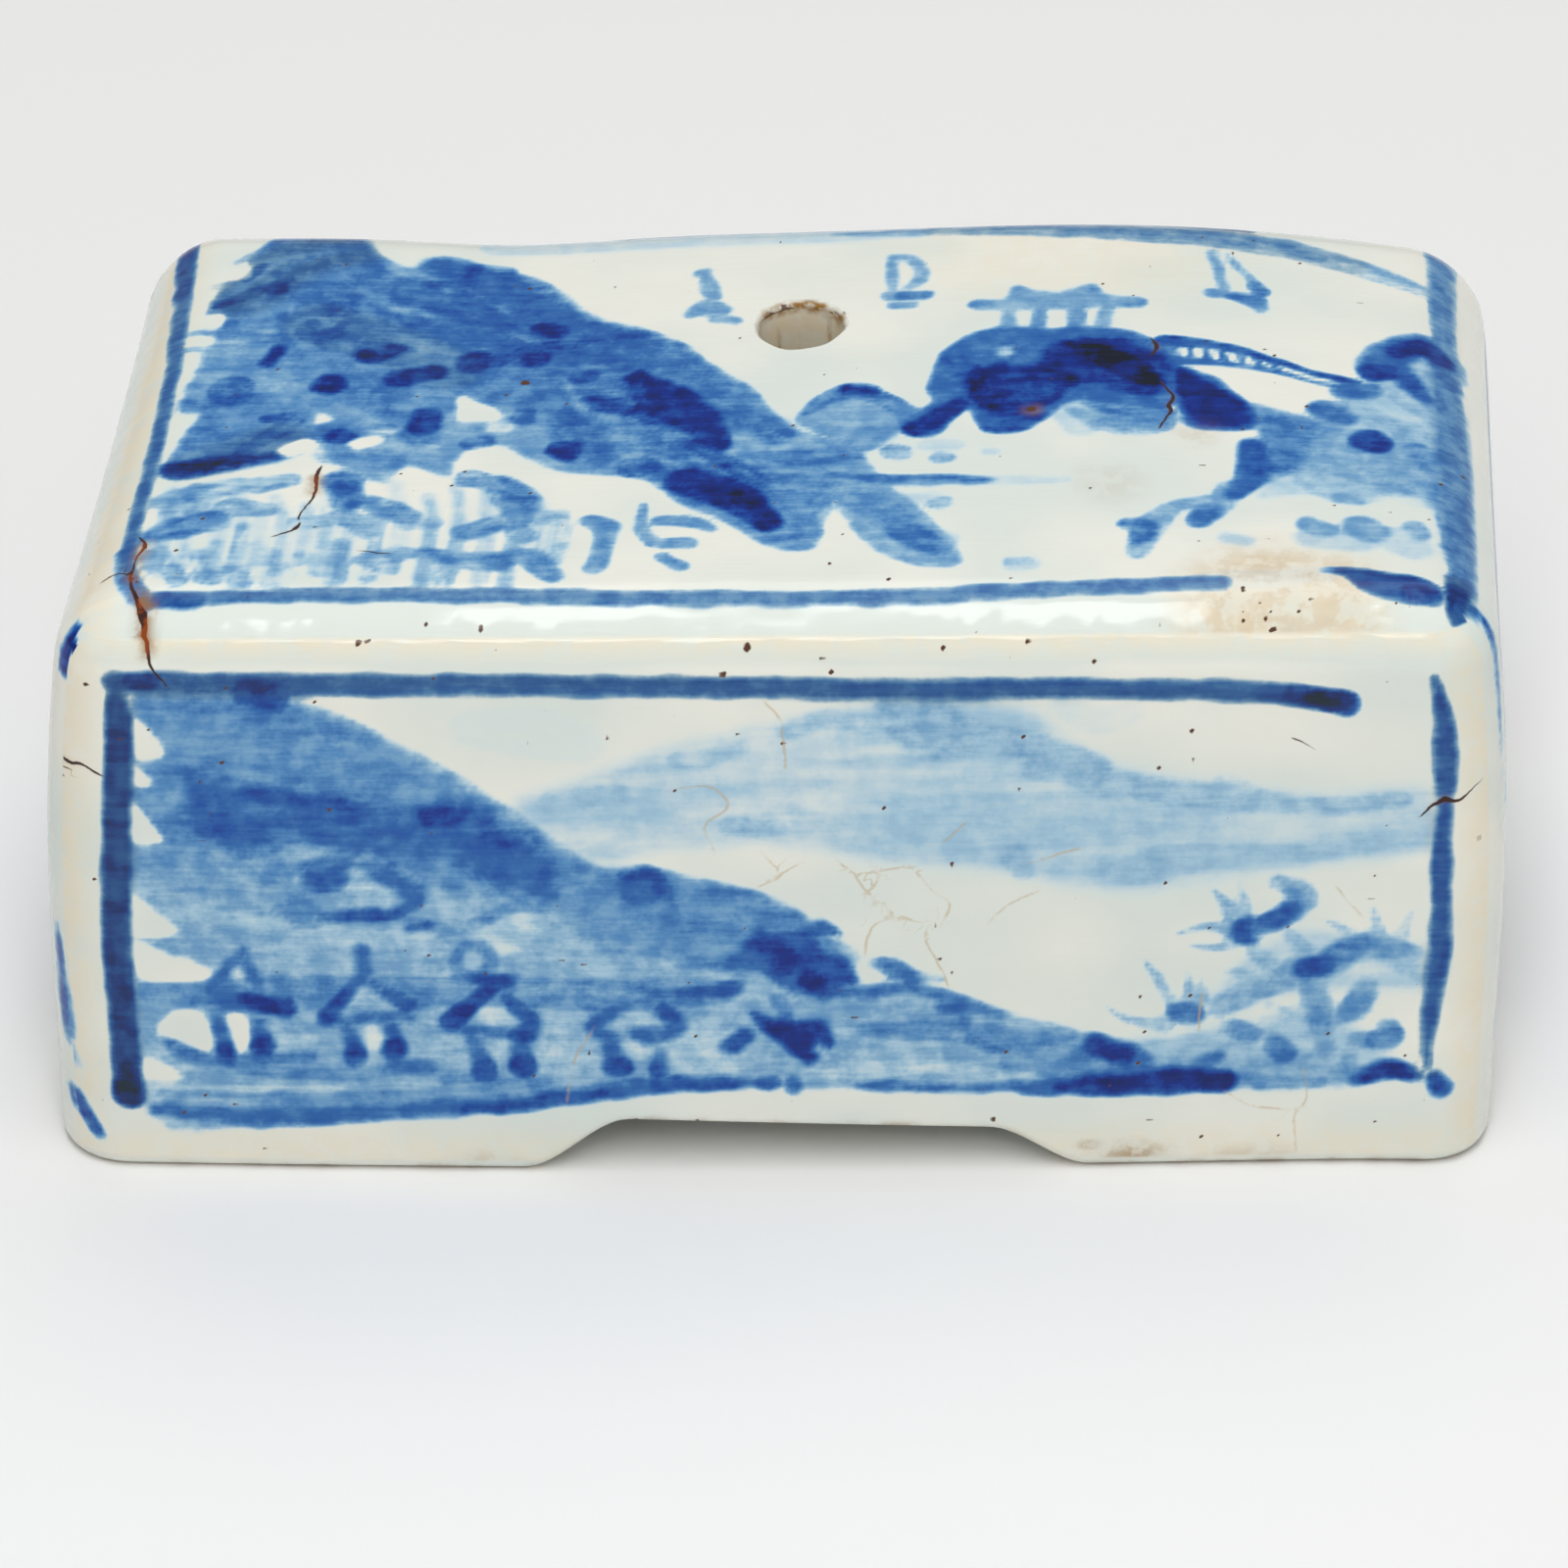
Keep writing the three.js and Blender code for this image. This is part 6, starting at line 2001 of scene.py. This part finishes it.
# Colours as they look in plain light, in sRGB
FLOOR_COLOUR = (232, 232, 231)
# The cooler, greyer glaze colour: the tone of the glaze's clouds, and also the painted shade along the front
# shoulder
GLAZE_COOL_AND_SHOULDER_SHADE = (212, 219, 212)
GLAZE_PLAIN = (226, 226, 216)
GLAZE_WARM = (228, 216, 190)
BARE_CLAY = (222, 212, 188)
DULL_COBALT = (34, 54, 66)
STAIN_BROWN = (144, 104, 42)
SPECK_BROWN = (84, 54, 38)
HAIRLINE_BROWN = (188, 160, 114)
RUST_HALO = (156, 92, 48)
CRACK_DARK = (58, 34, 28)
CRACK_RUSTY = (134, 62, 22)
COBALT_RAMP = (
    (0.0, (212, 224, 224)),
    (0.12, (194, 213, 220)),
    (0.24, (160, 193, 212)),
    (0.36, (118, 162, 196)),
    (0.48, (82, 136, 186)),
    (0.60, (46, 104, 168)),
    (0.72, (20, 78, 156)),
    (0.84, (0, 40, 130)),
    (0.93, (0, 26, 96)),
    (1.0, (4, 16, 36)),
)

# How strongly the glaze mirrors the lights, and how rough it is
SPECULAR_LEVEL = 0.3
GLAZE_IOR = 1.5
GLAZE_ROUGHNESS = 0.1
MOTTLED_ROUGHNESS = 0.02
FLOOR_ROUGHNESS = 0.9

# The unevenness of the glaze in its true box: changes for each millimetre, and how it is drawn out
MOTTLE_SCALE = 0.6
STREAK_SCALE = 1.5
STREAK_STRETCH = (0.12, 1.0, 1.0)
NOISE_TO_SWING = (0.32, 0.68, -1.0, 1.0)
RIPPLE_SCALE = 0.3
COMBED_SCALE = 2.4
COMBED_STRETCH = (0.14, 1.0, 1.0)
COMBED_SHARE = 0.16
RIPPLE_STRENGTH = 0.5
RIPPLE_HEIGHT = 0.0002

# How dark each paint layer is
PAINT_DENSITIES = (0.38, 0.63, 0.88, 1.02)
WASH_DENSITY = 0.3


def srgb(red, green, blue):
    """A colour given as 0 to 255 sRGB values, as linear values for a material."""
    def linear(value):
        share = value / 255
        return share / 12.92 if share <= 0.04045 else ((share + 0.055) / 1.055) ** 2.4

    return (linear(red), linear(green), linear(blue), 1.0)


def cobalt_density(s, wash, uneven):
    """How much cobalt lies under the glaze, from 0 for none to 1 for almost black."""
    amount = s.math("MULTIPLY", wash, s.math("MULTIPLY_ADD", uneven, 0.7, WASH_DENSITY))
    for field, density in zip(s.channels("cobalt"), PAINT_DENSITIES):
        field = s.math("MULTIPLY_ADD", uneven, s.remap(field, NO_PAINT, 0.5), field)
        share = s.remap(field, NO_PAINT, FULL_PAINT)
        level = s.math("ADD", density, uneven)
        gain = s.math("MAXIMUM", s.math("SUBTRACT", level, amount), 0.0)
        amount = s.math("MULTIPLY_ADD", share, gain, amount)
    return amount


def painted_colour(s, mottle, uneven, wash, warm, biscuit, dull):
    """White glaze over the cobalt, duller where the layer says so, and the bare clay."""
    # The shade attribute mixes in the cooler glaze: real clouds of tone, plus painted shade along the front
    # shoulder, which is pushed fully to it
    white = s.mix(s.attribute("shade").outputs["Fac"], srgb(*GLAZE_COOL_AND_SHOULDER_SHADE), srgb(*GLAZE_PLAIN))
    tint = s.math("MULTIPLY", warm, s.remap(mottle, -1.1, 0.7, 0.45, 1.0))
    white = s.mix(tint, white, srgb(*GLAZE_WARM))
    density = cobalt_density(s, wash, uneven)
    painted = s.remap(density, 0.0, 0.26)
    colour = s.mix(painted, white, s.ramp(density, COBALT_RAMP))
    grey = s.math("MULTIPLY", s.math("MULTIPLY", dull, painted), 0.5)
    colour = s.mix(grey, colour, srgb(*DULL_COBALT))
    return s.mix(s.math("MULTIPLY", biscuit, 0.85), colour, srgb(*BARE_CLAY))


def marked_colour(s, colour, mottle, uneven, aside, stain, craze, speck):
    """Adds the stains, the specks and the hairlines to the glaze."""
    blotch = s.remap(s.math("MULTIPLY_ADD", mottle, 0.5, uneven), -0.4, 0.3, 0.35, 1.0)
    colour = s.mix(s.math("MULTIPLY", stain, blotch), colour, srgb(*STAIN_BROWN))
    colour = s.mix(s.remap(speck, 0.46, 0.64), colour, srgb(*SPECK_BROWN))
    hairline = s.math("MULTIPLY", s.remap(aside, 0.03, 0.15, 1.0, 0.0), craze)
    hairline = s.math("MULTIPLY", hairline, s.remap(mottle, -1.0, 0.5, 0.1, 0.5))
    return s.mix(hairline, colour, srgb(*HAIRLINE_BROWN))


def cracked_colour(s, colour, mottle, aside, rust, stain):
    """Adds the cracks, which are rusty where the glaze is stained. Gives the share of crack too."""
    rusty = s.remap(stain, 0.1, 0.7)
    halo = s.math("MULTIPLY", s.remap(aside, 0.1, 0.6, 0.42, 0.0), s.remap(rust, 0.06, 0.2))
    halo = s.math("MULTIPLY", halo, s.remap(rusty, 0.0, 1.0, 0.4, 1.0))
    colour = s.mix(halo, colour, srgb(*RUST_HALO))
    crack = s.remap(s.math("SUBTRACT", aside, rust), -0.03, 0.07, 1.0, 0.0)
    crack = s.math("MULTIPLY", crack, s.remap(rust, 0.01, 0.05))
    rusty = s.math("MULTIPLY", rusty, s.remap(mottle, -0.8, 0.4))
    iron = s.mix(rusty, srgb(*CRACK_DARK), srgb(*CRACK_RUSTY))
    return s.mix(crack, colour, iron), crack


def glazed_surface(s, mottle, uneven):
    """The colour and the roughness of the porcelain."""
    rust, stain, craze, speck = s.channels("marks")
    wash, warm, biscuit, dull = s.channels("tone")
    side = s.attribute("side").outputs["Fac"]
    aside = s.math("ABSOLUTE", s.math("MULTIPLY_ADD", mottle, 0.07, side))
    colour = painted_colour(s, mottle, uneven, wash, warm, biscuit, dull)
    colour = marked_colour(s, colour, mottle, uneven, aside, stain, craze, speck)
    colour, crack = cracked_colour(s, colour, mottle, aside, rust, stain)
    rough = s.math("MULTIPLY_ADD", mottle, MOTTLED_ROUGHNESS, GLAZE_ROUGHNESS)
    matte = s.attribute("matte").outputs["Fac"]
    for field, amount in ((biscuit, 0.55), (dull, 0.2), (crack, 0.5), (stain, 0.3), (matte, 0.75)):
        rough = s.math("MULTIPLY_ADD", field, amount, rough)
    return colour, rough


def glaze_ripple(s, rest):
    """The faint ripple of the glaze, as a bump."""
    combed = s.noise(s.stretched(rest, COMBED_STRETCH), COMBED_SCALE, 1.0)
    height = s.math("MULTIPLY_ADD", combed, COMBED_SHARE, s.noise(rest, RIPPLE_SCALE, 1.0))
    return s.bump(height, RIPPLE_STRENGTH, RIPPLE_HEIGHT)


def porcelain_material():
    s = Shader("porcelain_glaze")
    rest = s.attribute("rest").outputs["Vector"]
    mottle = s.remap(s.noise(rest, MOTTLE_SCALE, 3.0, 0.6), *NOISE_TO_SWING)
    drawn_out = s.stretched(rest, STREAK_STRETCH)
    streak = s.remap(s.noise(drawn_out, STREAK_SCALE, 3.0, 0.65), *NOISE_TO_SWING)
    uneven = s.math("MULTIPLY_ADD", streak, 0.03, s.math("MULTIPLY", mottle, 0.05))
    colour, rough = glazed_surface(s, mottle, uneven)
    s.put(s.surface.inputs["Base Color"], colour)
    s.put(s.surface.inputs["Roughness"], rough)
    s.surface.inputs["Specular IOR Level"].default_value = SPECULAR_LEVEL
    s.surface.inputs["IOR"].default_value = GLAZE_IOR
    s.put(s.surface.inputs["Normal"], glaze_ripple(s, rest))
    return s.material


def floor_material():
    s = Shader("pale_floor")
    s.surface.inputs["Base Color"].default_value = srgb(*FLOOR_COLOUR)
    s.surface.inputs["Roughness"].default_value = FLOOR_ROUGHNESS
    s.surface.inputs["Specular IOR Level"].default_value = 0.0
    return s.material


# The piece

def store_layers(mesh, rest, layers):
    vector = mesh.attributes.new("rest", "FLOAT_VECTOR", "POINT")
    vector.data.foreach_set("vector", rest.astype(np.float32).ravel())
    shade = mesh.attributes.new("shade", "FLOAT", "POINT")
    x, y, z = rest.T
    clouds_and_shoulder_shade = sum(
        strength * value_noise(x / along + CLOUDS_AT, (y + z) / across + CLOUDS_AT, seed)
        for strength, along, across, seed in CLOUDS
    )
    # Painted shade: along the front shoulder the glaze is pushed fully to its cooler, darker colour, so the
    # shoulder comes out darker
    shoulder_shade_mask = smoothstep(np.minimum(z - HEIGHT + 4.4, -24.6 - y), 0, 1.2)
    clouds_and_shoulder_shade = smoothstep(clouds_and_shoulder_shade, 0.25, 0.75) - 1.1 * shoulder_shade_mask
    shade.data.foreach_set("value", clouds_and_shoulder_shade.astype(np.float32))
    for name in ("side", "matte"):
        made = mesh.attributes.new(name, "FLOAT", "POINT")
        made.data.foreach_set("value", layers[name].astype(np.float32))
    for name, names in ATTRIBUTES.items():
        made = mesh.attributes.new(name, "FLOAT_COLOR", "POINT")
        values = np.column_stack([layers[layer] for layer in names])
        made.data.foreach_set("color", values.astype(np.float32).ravel())


def placed(shaped):
    """Centres the fired shape on the CAD model's box, and keeps it within that box."""
    low, high = (np.array(corner) / MM for corner in cad_box)
    middle = (shaped.min(axis=0) + shaped.max(axis=0)) / 2
    fit = np.minimum(1, (high - low) / (shaped.max(axis=0) - shaped.min(axis=0)))
    return (shaped - middle) * fit + (low + high) / 2


def make_dropper():
    body = pierced_body()
    mesh = body.data
    rest = mesh_points(mesh)
    store_layers(mesh, rest, painted_layers(rest))
    set_mesh_points(mesh, placed(fired(rest)) * MM)
    mesh.polygons.foreach_set("use_smooth", np.ones(len(mesh.polygons), bool))
    mesh.set_sharp_from_angle(angle=CREASE_ANGLE)
    mesh.materials.clear()
    mesh.materials.append(porcelain_material())
    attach(body, "root")
    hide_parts("porcelain_body")
    return body


# The studio

WHITE = (1.0, 1.0, 1.0, 1.0)
WORLD_STRENGTH = 0.32
FLOOR_SIZE = 6.0

# The area lights: name, place, target, size and power
LIGHTS = (
    ("key", (0.0, -0.454, 0.91), (0.0, 0.0, 0.02), (0.32, 0.95), 7.0),
    ("rear", (0.15, 0.8, 1.6), (0.0, 0.3, 0.0), (1.6, 1.0), 6.2),
    ("left_fill", (-1.2, -0.9, 0.8), (0.0, 0.0, 0.02), (1.0, 0.8), 2.1),
    ("right_fill", (1.2, -0.8, 0.8), (0.0, 0.0, 0.02), (1.0, 0.8), 2.8),
)


def make_floor():
    bpy.ops.mesh.primitive_plane_add(size=FLOOR_SIZE)
    floor = bpy.context.object
    floor.name = "floor"
    floor.data.materials.append(floor_material())


def make_light(name, place, target, size, power):
    data = bpy.data.lights.new(name, "AREA")
    data.shape = "RECTANGLE"
    data.size, data.size_y = size
    data.energy = power
    light = bpy.data.objects.new(name, data)
    light.location = place
    aim = Vector(target) - Vector(place)
    light.rotation_euler = aim.to_track_quat("-Z", "Y").to_euler()
    bpy.context.scene.collection.objects.link(light)


def make_lights():
    world = bpy.data.worlds.new("studio")
    world.use_nodes = True
    background = world.node_tree.nodes["Background"]
    background.inputs["Color"].default_value = WHITE
    background.inputs["Strength"].default_value = WORLD_STRENGTH
    bpy.context.scene.world = world
    for row in LIGHTS:
        make_light(*row)


CAMERA_AZIMUTH = 0.8
CAMERA_ELEVATION = 33.5
CAMERA_ROLL = -0.75
CAMERA_DISTANCE = 670.0
CAMERA_TARGET = (-0.466, 0.0, 14.0)
FOCAL_PIXELS = 9335.0
FRAME_PIXELS = 1600
SENSOR_WIDTH = 36.0


def make_camera():
    azimuth, elevation, roll = (math.radians(a) for a in (CAMERA_AZIMUTH, CAMERA_ELEVATION, CAMERA_ROLL))
    back = Vector((
        math.sin(azimuth) * math.cos(elevation),
        -math.cos(azimuth) * math.cos(elevation),
        math.sin(elevation),
    ))
    level = Vector((math.cos(azimuth), math.sin(azimuth), 0.0))
    upward = back.cross(level)
    right = math.cos(roll) * level + math.sin(roll) * upward
    up = back.cross(right)
    turn = Matrix((right, up, back)).transposed().to_4x4()
    place = (Vector(CAMERA_TARGET) + back * CAMERA_DISTANCE) * MM
    data = bpy.data.cameras.new("camera")
    data.sensor_width = SENSOR_WIDTH
    data.lens = FOCAL_PIXELS / FRAME_PIXELS * SENSOR_WIDTH
    camera = bpy.data.objects.new("camera", data)
    camera.matrix_world = Matrix.Translation(place) @ turn
    bpy.context.scene.collection.objects.link(camera)
    bpy.context.scene.camera = camera


make_dropper()
make_floor()
make_lights()
make_camera()
bpy.context.scene.view_settings.view_transform = "Standard"
